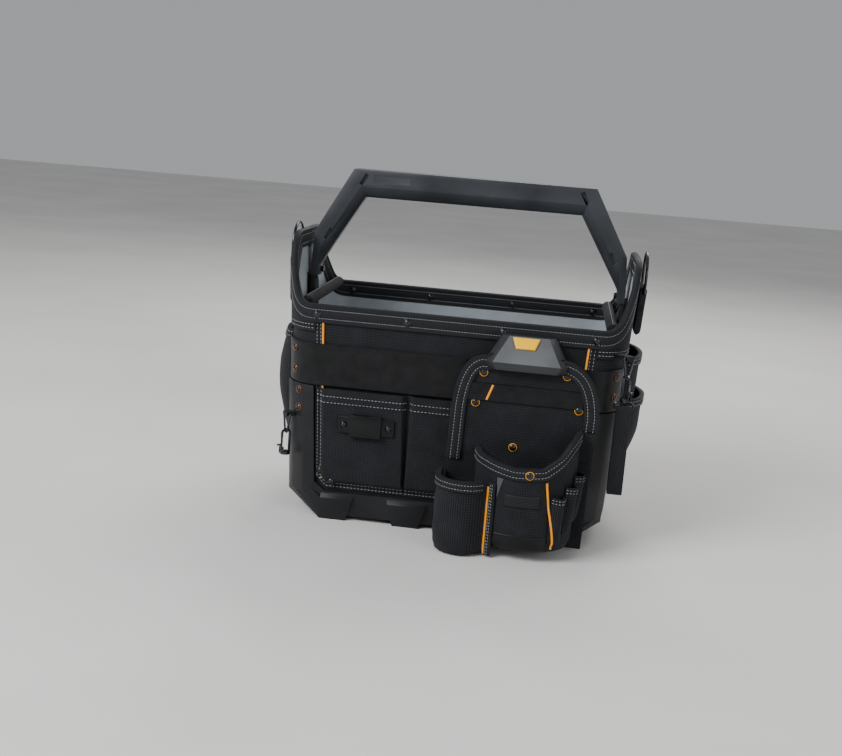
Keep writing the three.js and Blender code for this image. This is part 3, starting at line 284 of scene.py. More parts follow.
def piece(name, mesh, material, slot, body="tote", sharp=35):
    """Turns a mesh's faces outwards, smooths it and puts it in the scene on its body."""
    turning = bmesh.new()
    turning.from_mesh(mesh)
    bmesh.ops.recalc_face_normals(turning, faces=turning.faces)
    turning.to_mesh(mesh)
    turning.free()
    smoothed(mesh, sharp)
    mesh.materials.append(material)
    made = put(name, mesh)
    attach(made, body)
    return made


def loft(name, rings, across, along, material, slot, body="tote", wrap=False, sharp=35):
    """Closed body through closed rings of an even number of points. across and along are the texture
    places of the points and of the rings, in metres, with one more at the end where the way closes."""
    count = len(rings[0])
    faces, places = [], []

    def face(*corners):
        faces.append([(ring % len(rings)) * count + point % count for ring, point in corners])
        places.extend((along[ring], across[point]) for ring, point in corners)

    for ring in range(len(rings) if wrap else len(rings) - 1):
        for point in range(count):
            face((ring, point), (ring + 1, point), (ring + 1, point + 1), (ring, point + 1))
    if not wrap:
        for ring in (0, len(rings) - 1):
            face((ring, 0), (ring, 1), (ring, count - 1))
            face((ring, count // 2 - 1), (ring, count // 2), (ring, count // 2 + 1))
            for point in range(1, count // 2 - 1):
                face((ring, point), (ring, point + 1), (ring, count - point - 1), (ring, count - point))
    mesh = bpy.data.meshes.new(name)
    mesh.from_pydata([point for ring in rings for point in ring], [], faces)
    layer = mesh.uv_layers.new(name="cloth")
    layer.data.foreach_set("uv", [value for pair in places for value in pair])
    return piece(name, mesh, material, slot, body, sharp)


def cloth(name, columns, rows, placed, face, thickness, material, slot="black_cloth", sharp=35):
    """A sewn sheet: columns are places along it, rows(along) gives its heights there, and
    face(along, height) says how far its outer face stands off."""
    rings = []
    for along in columns:
        heights = rows(along)
        low, high = heights[0], heights[-1]
        rings.append([placed(along, low - thickness * 0.4, face(along, low) - thickness / 2)]
                     + [placed(along, height, face(along, height)) for height in heights]
                     + [placed(along, high + thickness * 0.4, face(along, high) - thickness / 2)]
                     + [placed(along, height, face(along, height) - thickness)
                        for height in reversed(heights)])
    heights = rows(columns[len(columns) // 2])
    across = [heights[0], *heights, heights[-1], *reversed(heights), heights[0]]
    return loft(name, rings, metres(across), metres(columns), material, slot, sharp=sharp)


def wrinkle(along, height, size, seed):
    """Soft unevenness of stiff cloth, from -1 to 1."""
    return noise.noise(Vector((along / size, height / size, seed)))


def woven(name, dark, light, pitch, depth, roughness, sheen=0.04):
    """Plain woven cloth: a grid of thread crossings, with uneven dye and a little nap."""
    material, tree = finish(name, Sheen_Weight=sheen, Sheen_Roughness=0.45, Specular_IOR_Level=0.13)
    uv = on_cloth(tree)
    warp, weft = (waves(tree, uv, direction, pitch, 0.3, 1.0) for direction in "XY")
    threads = scaled(tree, specks(tree, uv, 900.0, 3.0), 0.6, scaled(tree, warp, weft))
    patch = specks(tree, uv, 45.0, 4.0)
    dress(tree, ramp(tree, scaled(tree, patch, 0.5, threads), 0.5, dark, 1.0, light),
          ramp(tree, patch, 0.3, roughness - 0.08, 0.7, roughness + 0.06),
          Strength=0.9, Distance=depth, Height=threads)
    return material


black_cloth = woven("ballistic_cloth", (0.0026, 0.0027, 0.0032), (0.024, 0.025, 0.029), 0.0019, 0.0003, 0.72)
pale_lining = woven("pale_lining", (0.24, 0.262, 0.28), (0.4, 0.43, 0.45), 0.001, 0.0001, 0.8, 0.06)


def body_face(around, height):
    """The body's outer face: it sinks in a little between its seams, away from the edges."""
    calm = clamp((height - 46) / 40) * clamp((mouth(around) - 26 - height) / 30)
    return -calm * (0.7 + 0.6 * wrinkle(around, height, 55, 1.0) + 0.3 * wrinkle(around, height, 16, 2.0))


def cup(name, bottom, edge, out, thickness, material, slot):
    """A cloth body that is closed at the bottom, from there to an edge that varies."""
    columns = span(-half_way, half_way, 8)[:-1]
    knee, shares = 30, (0, 0.04, 0.08, 0.13, 0.17, 0.22, 0.3, 0.4, 0.5, 0.6, 0.7, 0.78, 0.85, 0.9, 0.95, 1)
    texture = metres(columns + [columns[0] + whole_way])
    made = bmesh.new()
    layer = made.loops.layers.uv.new("cloth")
    grids = [[[(made.verts.new(wall(around, height, out + body_face(around, height) - side)), height)
               for height in steps(bottom + side, knee, 4)[:-1]
               + [knee + (edge(around) - knee) * share for share in shares]]
              for around in columns] for side in (0, thickness)]
    top = len(grids[0][0]) - 1

    def face(*corners):
        spots = [grids[grid][column % len(columns)][row] for grid, column, row in corners]
        new_face = made.faces.new([vertex for vertex, _ in spots])
        for loop, (_, column, _), (_, height) in zip(new_face.loops, corners, spots):
            loop[layer].uv = (texture[column], height * 0.001)

    for column in range(len(columns)):
        for grid in (0, 1):
            for row in range(top):
                face((grid, column, row), (grid, column + 1, row), (grid, column + 1, row + 1),
                     (grid, column, row + 1))
        face((0, column, top), (0, column + 1, top), (1, column + 1, top), (1, column, top))
    for grid in grids:
        for loop in made.faces.new([column[0][0] for column in grid]).loops:
            loop[layer].uv = (loop.vert.co.x, loop.vert.co.y)
    mesh = bpy.data.meshes.new(name)
    made.to_mesh(mesh)
    made.free()
    return piece(name, mesh, material, slot)


shell = cup("cloth_body", 9, mouth, 0, 2.5, black_cloth, "black_cloth")
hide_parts("body_shell")
inner_skin = cup("pale_inner_cloth", 11.8, lambda around: mouth(around) - 9, -2.8, 1, pale_lining, "lining")
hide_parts("lining")

# Bound edge of the mouth.
# A wide folded band of black webbing over the edge of the shell and lining, sewn through with two rows
# of pale thread and set with snap rivets on the long sides.


def ribbed(name, dark, light, pitch, depth, direction="X"):
    """Webbing or grosgrain: fine ribs across its run."""
    material, tree = finish(name, Sheen_Weight=0.03, Sheen_Roughness=0.4, Specular_IOR_Level=0.15)
    uv = on_cloth(tree)
    ribs = waves(tree, uv, direction, pitch, 0.4, 2.0)
    patch = specks(tree, uv, 60.0, 5.0)
    dress(tree, ramp(tree, scaled(tree, patch, 0.7, ribs), 0.4, dark, 0.98, light),
          ramp(tree, patch, 0.3, 0.52, 0.7, 0.7), Strength=0.8, Distance=depth, Height=ribs)
    return material


edge_webbing = ribbed("edge_webbing", (0.0035, 0.0036, 0.0043), (0.018, 0.0187, 0.0215), 0.0014, 0.00018)


def below_edge(edge, placed, section, closed=0.0):
    """For each (along, height) point of an edge, the places at pairs of a distance below it and a
    distance out. closed is the way round, if the edge closes."""
    rows = []
    for (along, height), (before, after) in zip(edge, neighbours(edge, closed)):
        run = after[0] - before[0]
        if closed and run < 0:
            run += closed
        tangent = Vector((run, after[1] - before[1])).normalized()
        rows.append([placed(along + tangent.y * down, height - tangent.x * down, out)
                     for down, out in section])
    return rows


def bound_edge(name, edge, placed, inner, outer, width, thickness, closed=0.0):
    """A folded band over an edge. It dips where its two rows of stitches pull it down."""
    top_out, top_in = outer + 0.9 + thickness, inner - 0.9 - thickness
    profile = ((1, 0), (0.84, 0), (0.76, -0.45), (0.68, 0), (0.5, 0.35), (0.32, 0), (0.24, -0.45), (0.16, 0),
               (0.06, 0))
    front = [(width + 0.5, top_out - thickness * 0.5)]
    front += [(width * share, top_out + lift) for share, lift in profile] + [(-0.5, top_out)]
    over = [(-0.5 - 0.9 * math.sin(math.pi * share) * thickness, top_out + (top_in - top_out) * share)
            for share in (0.15, 0.35, 0.5, 0.65, 0.85)]
    back = [(down, top_in + (top_out - out)) for down, out in reversed(front)]
    section = [(width + 0.5, (inner + outer) / 2), *front, *over, *back]
    way = metres(measured(edge)[:-1])
    if closed:
        way.append(2 * way[-1] - way[-2])
    return loft(name, below_edge(edge, placed, section, closed), metres(measured(section)), way, edge_webbing,
                "black_cloth", wrap=bool(closed), sharp=50)


rim_edge = [(around, mouth(around)) for around in span(-half_way, half_way, 5)[:-1]]
rim = bound_edge("mouth_binding", rim_edge, wall, -2.5, 0, 20, 1.8, closed=whole_way)
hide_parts("rim_binding")


def settled(made):
    """Keeps what an object's modifiers make as its plain mesh."""
    bpy.context.view_layer.update()
    mesh = bpy.data.meshes.new_from_object(made.evaluated_get(bpy.context.evaluated_depsgraph_get()))
    made.modifiers.clear()
    made.data = mesh


def grown(name, mesh, tree, inputs):
    """Runs a tree on a mesh and keeps the result as a plain mesh."""
    made = put(name, mesh)
    modifier = made.modifiers.new("tree", "NODES")
    modifier.node_group = tree
    for item in tree.interface.items_tree:
        if item.in_out == "INPUT" and item.name in inputs:
            modifier[item.identifier] = inputs[item.name]
    settled(made)
    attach(made, "tote")


def geometry_tree(name, start, lengths, materials):
    """A geometry tree with its inputs: a mesh to start from, lengths and materials."""
    tree = bpy.data.node_groups.new(name, "GeometryNodeTree")
    for kind, names in (("Geometry", (start,)), ("Float", lengths), ("Material", materials)):
        for socket in names:
            tree.interface.new_socket(name=socket, in_out="INPUT", socket_type=f"NodeSocket{kind}")
    tree.interface.new_socket(name="Grown", in_out="OUTPUT", socket_type="NodeSocketGeometry")
    return tree, tree.nodes.new("NodeGroupInput").outputs


def oval(tree, segments, rings, radius, height, material):
    """A ball that is stretched or pressed along its axis."""
    size = node(tree, "ShaderNodeCombineXYZ", X=radius, Y=radius, Z=height)
    ball = node(tree, "GeometryNodeMeshUVSphere", Segments=segments, Rings=rings, Radius=1.0)
    sized = node(tree, "GeometryNodeTransform", Geometry=ball.outputs["Mesh"], Scale=size.outputs[0])
    return node(tree, "GeometryNodeSetMaterial", Geometry=sized.outputs[0], Material=material)


def repeated(tree, points, shape, way):
    """Puts a shape on every point, turns its axis along a direction and gives it all out as one mesh."""
    facing = node(tree, "FunctionNodeAlignRotationToVector", {"axis": "Z"}, Vector=way.outputs[0])
    many = node(tree, "GeometryNodeInstanceOnPoints", Points=points, Instance=shape.outputs[0],
                Rotation=facing.outputs[0])
    real = node(tree, "GeometryNodeRealizeInstances", Geometry=many.outputs[0])
    rounded = node(tree, "GeometryNodeSetShadeSmooth", Geometry=real.outputs[0])
    tree.links.new(rounded.outputs[0], tree.nodes.new("NodeGroupOutput").inputs[0])


stitch_tree, given = geometry_tree(
    "thread_row", "Seam", ("Pitch", "Stitch length", "Thread radius"), ("Thread",))
seam = node(stitch_tree, "GeometryNodeMeshToCurve", Mesh=given["Seam"])
spaced = node(stitch_tree, "GeometryNodeResampleCurve", {"mode": "LENGTH"}, Curve=seam.outputs["Curve"],
              Length=given["Pitch"])
repeated(stitch_tree, spaced.outputs[0],
         oval(stitch_tree, 6, 4, given["Thread radius"], scaled(stitch_tree, given["Stitch length"], 0.5),
              given["Thread"]), node(stitch_tree, "GeometryNodeInputTangent"))

pale_thread, tree = finish("pale_thread", Roughness=0.6, Sheen_Weight=0.3)
twist = specks(tree, in_space(tree), 900.0, 2.0)
dress(tree, ramp(tree, twist, 0.3, (0.2, 0.204, 0.212), 0.7, (0.44, 0.44, 0.45)),
      Strength=0.5, Distance=0.0002, Height=twist)


def stitches(name, runs, pitch=0.0042, length=0.003, radius=0.00036):
    """Rows of stitches along runs of points."""
    points, edges = [], []
    for run in runs:
        edges += [(i, i + 1) for i in range(len(points), len(points) + len(run) - 1)]
        points += run
    mesh = bpy.data.meshes.new(name)
    mesh.from_pydata(points, edges, [])
    grown(name, mesh, stitch_tree, {"Pitch": pitch, "Stitch length": length, "Thread radius": radius,
                                    "Thread": pale_thread})


def edge_row(edge, placed, down, out, closed=0.0):
    """A row of places at one distance below an edge."""
    row = [places[0] for places in below_edge(edge, placed, [(down, out)], closed)]
    return row + ([row[0]] if closed else [])


rim_out = 0.9 + 1.8 - 0.2
stitches("mouth_stitches", [edge_row(rim_edge, wall, down, out, whole_way)
                            for down in (4.8, 15.2) for out in (rim_out, -2.5 - rim_out)],
         pitch=0.0034, length=0.0021)

rivet_sizes = ("Head radius", "Head height", "Ring radius", "Ring wire")
rivet_tree, given = geometry_tree("rivet_heads", "Places", rivet_sizes, ("Head", "Ring"))
dome = oval(rivet_tree, 20, 10, given["Head radius"], given["Head height"], given["Head"])
loop_line, wire_line = (
    node(rivet_tree, "GeometryNodeCurvePrimitiveCircle", Resolution=count, Radius=given[radius]).outputs[0]
    for count, radius in ((24, "Ring radius"), (8, "Ring wire")))
ring_mesh = node(rivet_tree, "GeometryNodeCurveToMesh", Curve=loop_line, Profile_Curve=wire_line)
ring_painted = node(rivet_tree, "GeometryNodeSetMaterial", Geometry=ring_mesh.outputs[0],
                    Material=given["Ring"])
both = node(rivet_tree, "GeometryNodeJoinGeometry", Geometry=dome.outputs[0])
rivet_tree.links.new(ring_painted.outputs[0], both.inputs[0])
repeated(rivet_tree, given["Places"], both,
         node(rivet_tree, "GeometryNodeInputNamedAttribute", {"data_type": "FLOAT_VECTOR"}, Name="facing"))


def metal(name, dark, light, roughness, metallic=1.0):
    """Plated or painted metal with fine wear."""
    material, tree = finish(name, Metallic=metallic)
    place = in_space(tree)
    fine, broad = specks(tree, place, 700.0, 4.0), specks(tree, place, 90.0, 5.0)
    dress(tree, ramp(tree, broad, 0.3, dark, 0.7, light),
          ramp(tree, fine, 0.2, roughness - 0.08, 0.8, roughness + 0.1),
          Strength=0.15, Distance=0.0001, Height=fine)
    return material


black_snap = metal("black_snap", (0.028, 0.029, 0.032), (0.06, 0.061, 0.066), 0.24, 0.85)
copper = metal("copper_ring", (0.22, 0.075, 0.03), (0.38, 0.14, 0.06), 0.35)
gunmetal = metal("gunmetal", (0.035, 0.036, 0.04), (0.085, 0.087, 0.094), 0.27)


def rivets(name, places, radius, height, ring_radius, wire=0.7, ring=black_snap):
    """Rivets at pairs of points: where the head sits and a point further out along its axis."""
    mesh = bpy.data.meshes.new(name)
    mesh.from_pydata([place for place, _ in places], [], [])
    store = mesh.attributes.new("facing", "FLOAT_VECTOR", "POINT")
    store.data.foreach_set("vector", [value for place, out in places for value in (out - place).normalized()])
    sizes = dict(zip(rivet_sizes, metres((radius, height, ring_radius, wire))))
    grown(name, mesh, rivet_tree, {**sizes, "Head": black_snap, "Ring": ring})


def on_wall(around, height, out, way=10):
    """Where a rivet's head sits and a point along its axis. With a way below 0 it faces inwards."""
    return wall(around, height, out), wall(around, height, out + way)


rim_rivets = [around + side for side in (0, half_way) for around in (-166, -57, 57, 166)]
rivets("mouth_rivets", [on_wall(around, 250.5, 2.9) for around in rim_rivets]
       + [on_wall(around, 250.5, -5.4, -10) for around in rim_rivets], 4.1, 2.3, 4.6)

# Collars on the ears and the smooth band.
# A second layer of the black cloth stiffens each raised end. A smooth coated band runs across the front
# and wraps both corners, where copper-ringed rivets hold its ends.
for side, word in sides:
    columns = [side * around for around in span(front_half, half_way - front_half, 7)]
    collar = cloth(f"{word}_collar", columns, lambda around: [230] + steps(231.5, mouth(around) - 12, 5),
                   wall, lambda around, height: 2.3 + 0.25 * wrinkle(around, height, 30, 5.0), 1.9, black_cloth)
    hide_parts(f"end_collar_{word}")

coated, tree = finish("coated_band", Specular_IOR_Level=0.2, Coat_Weight=0.03, Coat_Roughness=0.3)
uv = on_cloth(tree)
ripple = specks(tree, uv, 70.0, 5.0)
pores = node(tree, "ShaderNodeTexVoronoi", Vector=uv, Scale=1100.0).outputs["Distance"]
dress(tree, ramp(tree, ripple, 0.3, (0.0035, 0.0035, 0.004), 0.7, (0.009, 0.009, 0.01)),
      ramp(tree, ripple, 0.25, 0.36, 0.75, 0.52), Strength=0.35, Distance=0.0006,
      Height=scaled(tree, pores, 0.4, ripple))

band = cloth("smooth_band", span(-233, 233, 6),
             lambda around: [165.3, 166, 167.5, 170, 180, 190, 200, 210, 212.8, 214.2, 215], wall,
             lambda around, height: 2.5 + (0.5 if height > 212 or height < 168 else 0)
             + 0.25 * wrinkle(around, height, 28, 7.0), 2.1, coated, "smooth_band")
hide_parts("front_band")
copper_places = ((-201, 206, 2.6), (-201, 180, 2.6), (204.6, 207, 2.6), (204.6, 182, 2.6), (-192, 156, 3.7),
                 (-192, 134, 3.7))
rivets("corner_rivets", [on_wall(*place) for place in copper_places], 4.1, 2.4, 4.5, 0.55, copper)

orange_cord, tree = finish("orange_piping", Sheen_Weight=0.05, Sheen_Roughness=0.4)
fuzz = specks(tree, in_space(tree), 700.0, 3.0)
dress(tree, ramp(tree, fuzz, 0.3, (0.85, 0.26, 0.0), 0.7, (1.0, 0.38, 0.0)),
      ramp(tree, fuzz, 0.3, 0.5, 0.7, 0.68), Strength=0.5, Distance=0.0003, Height=fuzz)


def bar(name, points, radius, material, slot, closed=False, flat=1.0, up=None):
    """A round or oval bar along points, closed at its ends or on itself."""
    rings, corners = [], 12
    normal = up
    for point, (before, after) in zip(points, neighbours(points, closed)):
        run = (after - before).normalized()
        if normal is None:
            normal = run.orthogonal()
        normal = (normal - run * normal.dot(run)).normalized()
        side = run.cross(normal)
        rings.append([point + (normal * math.cos(angle) * flat + side * math.sin(angle)) * radius * 0.001
                      for angle in turns(corners)])
    girth = metres(steps(0, 2 * math.pi * radius, corners))
    return loft(name, rings, girth, measured(points), material, slot, wrap=closed)


def piping(name, points, radius=1.25, **form):
    bar(name, points, radius, orange_cord, "yellow_plastic", **form)


def upright(around, low, high, out, spacing=4):
    return [wall(around, height, out) for height in span(low, high, spacing)]


piping_runs = [(side, low, high) for side in (-1, 1) for low, high in ((214, 243), (154, 166), (50, 70))]
for number, (side, low, high) in enumerate(piping_runs):
    piping(f"corner_piping_{number + 1}", upright(side * 158.6, low, high, 1, 3))

body_rows = [upright(side * around, low, high, 0.25)
             for side in (-1, 1) for around in (161.6, 166.2) for low, high in ((168, 242), (60, 164))]
collar_way = span(front_half + 4, half_way - front_half - 4, 5)
body_rows += [[wall(side * around, height, 2.6) for around in collar_way]
              for side in (-1, 1) for height in (233.5, 238)]
body_rows += [upright(side * (quarter + across), 170, 228, 0.25)
              for side in (-1, 1) for across in (-66, -61.5, 61.5, 66)]
stitches("body_stitches", body_rows)

# Moulded base.
# One tough dark plastic tray with feet, arches between them, sloping ends and a tall faceted guard at
# each corner, riveted to the cloth. Its edges are a little worn and its faces have a fine grain.


def moulded(name, dark, light, roughness, wear, gloss=0.45, depth=0.00012):
    """Moulded plastic: fine grain, uneven gloss and paler worn edges."""
    material, tree = finish(name, Specular_IOR_Level=gloss)
    place = in_space(tree)
    fine, broad = specks(tree, place, 1400.0, 3.0), specks(tree, place, 22.0, 7.0)
    worn = ramp(tree, node(tree, "ShaderNodeNewGeometry").outputs["Pointiness"], 0.5, 0.0, 0.62, wear)
    mixed = node(tree, "ShaderNodeMixRGB", Fac=worn, Color1=ramp(tree, broad, 0.3, dark, 0.7, light),
                 Color2=(0.11, 0.11, 0.115, 1))
    dress(tree, mixed.outputs[0], ramp(tree, broad, 0.25, roughness - 0.08, 0.75, roughness + 0.1),
          Strength=0.5, Distance=depth, Height=fine)
    return material


def softened(node_name, name, material, slot, width, body="tote", segments=2):
    """A copy of a hard part with its edges rounded as a mould rounds them."""
    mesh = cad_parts[node_name].data.copy()
    made = bmesh.new()
    made.from_mesh(mesh)
    bmesh.ops.remove_doubles(made, verts=made.verts, dist=2e-5)
    bmesh.ops.dissolve_limit(made, angle_limit=math.radians(1.2), verts=made.verts, edges=made.edges)
    made.to_mesh(mesh)
    made.free()
    mesh.materials.clear()
    mesh.materials.append(material)
    copy = put(name, mesh)
    bevel = copy.modifiers.new("edges", "BEVEL")
    bevel.width = width * 0.001
    bevel.segments = segments
    bevel.limit_method = "ANGLE"
    bevel.angle_limit = math.radians(24)
    settled(copy)
    texture = copy.data.uv_layers.get("cloth") or copy.data.uv_layers.new(name="cloth")
    for face in copy.data.polygons:
        facing = max(range(3), key=lambda axis: abs(face.normal[axis]))
        across, along = (axis for axis in range(3) if axis != facing)
        for loop in face.loop_indices:
            place = copy.data.vertices[copy.data.loops[loop].vertex_index].co
            texture.data[loop].uv = place[across], place[along]
    smoothed(copy.data, 32)
    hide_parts(node_name)
    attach(copy, body)
    return copy


base_plastic = moulded("base_plastic", (0.0055, 0.0056, 0.0064), (0.012, 0.0122, 0.0137), 0.44, 0.05,
                       gloss=0.2)
softened("base_tray", "base_moulding", base_plastic, "base_plastic", 0.9)

# Front pockets.
# Three flat pockets of the same cloth, sewn down at their sides and bottom with two rows of pale thread,
# with folded hems that stand a little open.


def pocket_low(around):
    return 38.5 + max(0, abs(around) - 153) * 15 / 14


def pocket_heights(around):
    low = pocket_low(around)
    return steps(low, low + 12, 6) + steps(low + 12, 146.4, 16)[1:] + [147.2, 148, 152, 156, 160, 161.4, 162]


def pocket_face(start, end):
    """The outer sides are sewn flat. Between two pockets the cloth falls in to a pleat that opens upwards."""
    def face(around, height):
        rise = 1
        for side in (start, end):
            sewn, free = (5, 7) if abs(side) > 160 else (0.4, 1.2 + 6.5 * (height - 38) / 124)
            rise = min(rise, eased((abs(side - around) - sewn) / free))
        lift = eased((height - pocket_low(around) - 5) / 8)
        fold = 0.5 if height > 147 else 0
        soft = 0.45 * wrinkle(around, height, 26, 11.0) + 0.2 * wrinkle(around, height, 9, 12.0)
        return 1.9 + (7.75 + soft + fold) * rise * lift
    return face


pocket_rows, pocket_rivets = [], []
for side, word, start, end in (
        (-1, "left", -167, -50.15), (0, "middle", -49.85, 49.85), (1, "right", 50.15, 167)):
    face = pocket_face(start, end)

    def on_pocket(around, height):
        return wall(around, height, face(around, height) + 0.25)

    columns = span(start, start + 9, 1)[:-1] + span(start + 9, end - 9, 2.6) + span(end - 9, end, 1)[1:]
    made = cloth(f"front_pocket_{word}_cloth", columns, pocket_heights, wall, face, 1.6, black_cloth)
    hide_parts(f"front_pocket_{word}")
    level_run = span(start + 3, end - 3, 3)
    pocket_rows += [[on_pocket(around, height) for around in level_run] for height in (146.4, 154)]
    pocket_rows += [[on_pocket(around, pocket_low(around) + up) for around in level_run] for up in (2.2, 6.6)]
    if side:
        pocket_rows += [[on_pocket(around, height) for height in span(pocket_low(around) + 4, 158, 4)]
                        for around in (side * 164.4, side * 159.6)]
        pocket_rivets += [on_wall(around, height, face(around, height) + 0.2)
                          for around, height in ((side * 159.8, 60.2), (side * 144.4, 48.6))]
stitches("pocket_stitches", pocket_rows)
rivets("pocket_rivets", pocket_rivets, 4, 3, 4.4)

# Clip plate on the left front pocket.
# A black powder-coated pressing with a raised, slotted middle, held by a rivet at each end.
coated_steel = moulded("black_coated_steel", (0.004, 0.004, 0.0045), (0.007, 0.007, 0.008), 0.28, 0.0,
                       gloss=0.25, depth=0.00002)
softened("clip_plate", "belt_clip_plate", coated_steel, "black_steel", 0.45, segments=3)
plate_face = -half_depth - 12.2
rivets("clip_rivets", [(at(x, plate_face - 0.2, 122), at(x, plate_face - 10, 122)) for x in (-123.6, -69.2)],
       3.3, 1.8, 4.2, 0.8, coated_steel)

# Handle and its mountings.
# An angular hollow moulding in dark slate grey arches over the mouth. Its posts are bolted inside the
# ends, over pads, and a soft foam-filled roll runs along each end inside the mouth.
handle_plastic = moulded("handle_plastic", (0.014, 0.0157, 0.0192), (0.026, 0.029, 0.0345), 0.42, 0.2,
                         gloss=0.4)
softened("handle_frame", "handle_moulding", handle_plastic, "handle_plastic", 1.3, segments=3)
for word in ("left", "right"):
    softened(f"handle_bolt_{word}", f"{word}_handle_bolt", gunmetal, "steel", 0.5)

soft_black = woven("soft_pad_cloth", (0.003, 0.003, 0.0033), (0.014, 0.014, 0.0155), 0.0011, 0.00015, 0.85,
                   0.06)
pad_half, pad_low, pad_high, pad_out, pad_crown = 20, 150, 282.7, -4.1, 0.004


def end_run(side, half, spacing):
    """Places along the rim on both sides of the middle of an end."""
    return [side * quarter + step for step in span(-half, half, spacing)]


for side, word in sides:
    pad = cloth(f"{word}_post_pad", end_run(side, pad_half, 2.5), lambda around: span(pad_low, pad_high, 5),
                wall, lambda around, height: pad_out, 9, soft_black, "foam", sharp=60)
    for vertex in pad.data.vertices:
        x, y, z = (vertex.co - middle) * 1000
        surface = abs(wall(side * quarter, z, pad_out).x - middle.x) * 1000
        if surface - abs(x) > 4:
            edge = min(pad_half - abs(y), z - pad_low, pad_high - z)
            vertex.co.x += side * pad_crown * (1 - eased(edge / 9))
    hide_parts(f"handle_bracket_{word}")

    low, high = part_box(f"end_bar_{word}")
    centre, radius, reach = (low + high) / 2, (high.z - low.z) / 2, (high.y - low.y) / 2
    tip = [-reach + radius * (1 - math.cos(angle)) for angle in (0.12, 0.4, 0.7, 1.0, 1.3, 1.57)]
    way = (tip + span(-reach + radius + 0.004, reach - radius - 0.004, 0.004) + [-y for y in reversed(tip)])
    rings = []
    for y in way:
        over = max(abs(y) - (reach - radius), 0)
        pucker = 1 + 0.03 * noise.noise(Vector((y * 60, side, 3.0)))
        girth = math.sqrt(max(radius ** 2 - over ** 2, 0)) * pucker
        rings.append([centre + Vector((girth * math.cos(angle), y, girth * math.sin(angle)))
                      for angle in turns(24)])
    roll_pad = loft(f"{word}_end_roll", rings, steps(0, 2 * math.pi * radius, 24), way, soft_black, "foam",
                    sharp=60)
    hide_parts(f"end_bar_{word}")
    stitches(f"{word}_roll_seam", [[centre + Vector((0, y, radius + 0.0002))
                                    for y in span(-reach + radius, reach - radius, 0.004)]])

# Tabs and strap rings on the ears.
# Outside each raised end a block of folded webbing, sewn through, holds a thin steel ring for a strap.
plain_webbing = ribbed("plain_webbing", (0.004, 0.0041, 0.0045), (0.02, 0.0205, 0.0225), 0.0017, 0.00025, "Y")
tab_half, tab_low, tab_high = 28, 250, 305


def tab_face(around, height):
    edge = min(tab_half - abs(abs(around) - quarter), height - tab_low, tab_high - height)
    groove = 0.5 if 3.4 < edge < 5.4 else 0
    return 16.5 - 1.6 * (1 - eased(edge / 3)) - groove + 0.3 * wrinkle(around, height, 20, 21.0)


for side, word in sides:
    flap = cloth(f"{word}_tab_webbing", end_run(side, tab_half, 2), lambda around: span(tab_low, tab_high, 2),
                 wall, tab_face, 6.8, plain_webbing, "webbing", sharp=60)
    cloth(f"{word}_tab_base", end_run(side, 12, 3), lambda around: span(258, 297, 6), wall,
          lambda around, height: 10.5, 7.9, plain_webbing, "webbing")
    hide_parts(f"side_tab_{word}")
    across, up = span(-23.6, 23.6, 4), span(tab_low + 4.4, tab_high - 4.4, 4)
    tab_rows = [[(step, height) for step in across] for height in (up[0], up[-1])]
    tab_rows += [[(step, height) for height in up] for step in (across[0], across[-1])]
    stitches(f"{word}_tab_stitches", [[wall(side * quarter + step, height, 16.2) for step, height in row]
                                      for row in tab_rows])
    low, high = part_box(f"strap_ring_{word}")
    ring_x, half, foot = (low.x + high.x) / 2, 30, 301
    arch = [(half * math.cos(angle), 317 + half * math.sin(angle))
            for angle in map(math.radians, range(12, 169, 6))]
    path = [(half, foot), *arch, (-half, foot), (-half + 1.5, foot - 1.8), (half - 1.5, foot - 1.8)]
    ring_way = [Vector((ring_x, middle.y + y * 0.001, z * 0.001)) for y, z in path]
    strap_ring = bar(f"{word}_strap_ring", ring_way, 1.8, gunmetal, "steel", closed=True)
    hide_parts(f"strap_ring_{word}")

# End pockets.
# A deep pocket bows out on the left end. On the right end two shorter ones stand one before the other.
# They are sewn down at their sides and bottom, and their top edges are bound with narrower webbing.
end_pocket_half, end_pocket_floor = 58, 46


def belly(around):
    return math.sqrt(max(0, 1 - ((abs(around) - quarter) / end_pocket_half) ** 2))


def filled(height, top):
    return eased((height - end_pocket_floor) / (top - end_pocket_floor) * 2)


def bowed_stand(around, height):
    share = clamp((height - end_pocket_floor) / (217 - end_pocket_floor), 1.1)
    return 0.3 + 31 * belly(around) * math.sin(math.pi * 0.82 * share)


def tall_stand(around, height):
    return 0.3 + 21 * belly(around) * filled(height, 222)


def short_stand(around, height):
    return 2.2 + belly(around) * (21 * filled(height, 222) + 9 * filled(height, 170))


edge_stitches = []
for word, side, top, stand in (("left", -1, 217, bowed_stand), ("right", 1, 222, tall_stand),
                               ("right_front", 1, 170, short_stand)):
    columns = [side * quarter + end_pocket_half * math.sin(angle)
               for angle in map(math.radians, range(-90, 91, 5))]

    def placed(around, height, out):
        return wall(around, height, stand(around, height) + out)

    def face(around, height):
        loose = belly(around) * eased((height - 50) / 30) * eased((top - 14 - height) / 20)
        soft = 1.5 * wrinkle(around, height, 34, 31.0) + 0.6 * wrinkle(around, height, 13, 32.0)
        return 1.6 + loose * soft

    made = cloth(f"end_pocket_{word}_cloth", columns,
                 lambda around: [end_pocket_floor, 47.5] + steps(48, top - 0.5, 26)[1:] + [top],
                 placed, face, 1.6, black_cloth)
    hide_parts(f"end_pocket_{word}")
    edge = [(around, top) for around in columns[2:-2]]
    made = bound_edge(f"end_pocket_{word}_edge", edge, placed, 0, 1.6, 10, 1.2)
    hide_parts(f"end_pocket_{word}_binding")
    edge_stitches += [edge_row(edge, placed, down, 3.5) for down in (2.4, 7.6)]
stitches("end_pocket_stitches", edge_stitches)

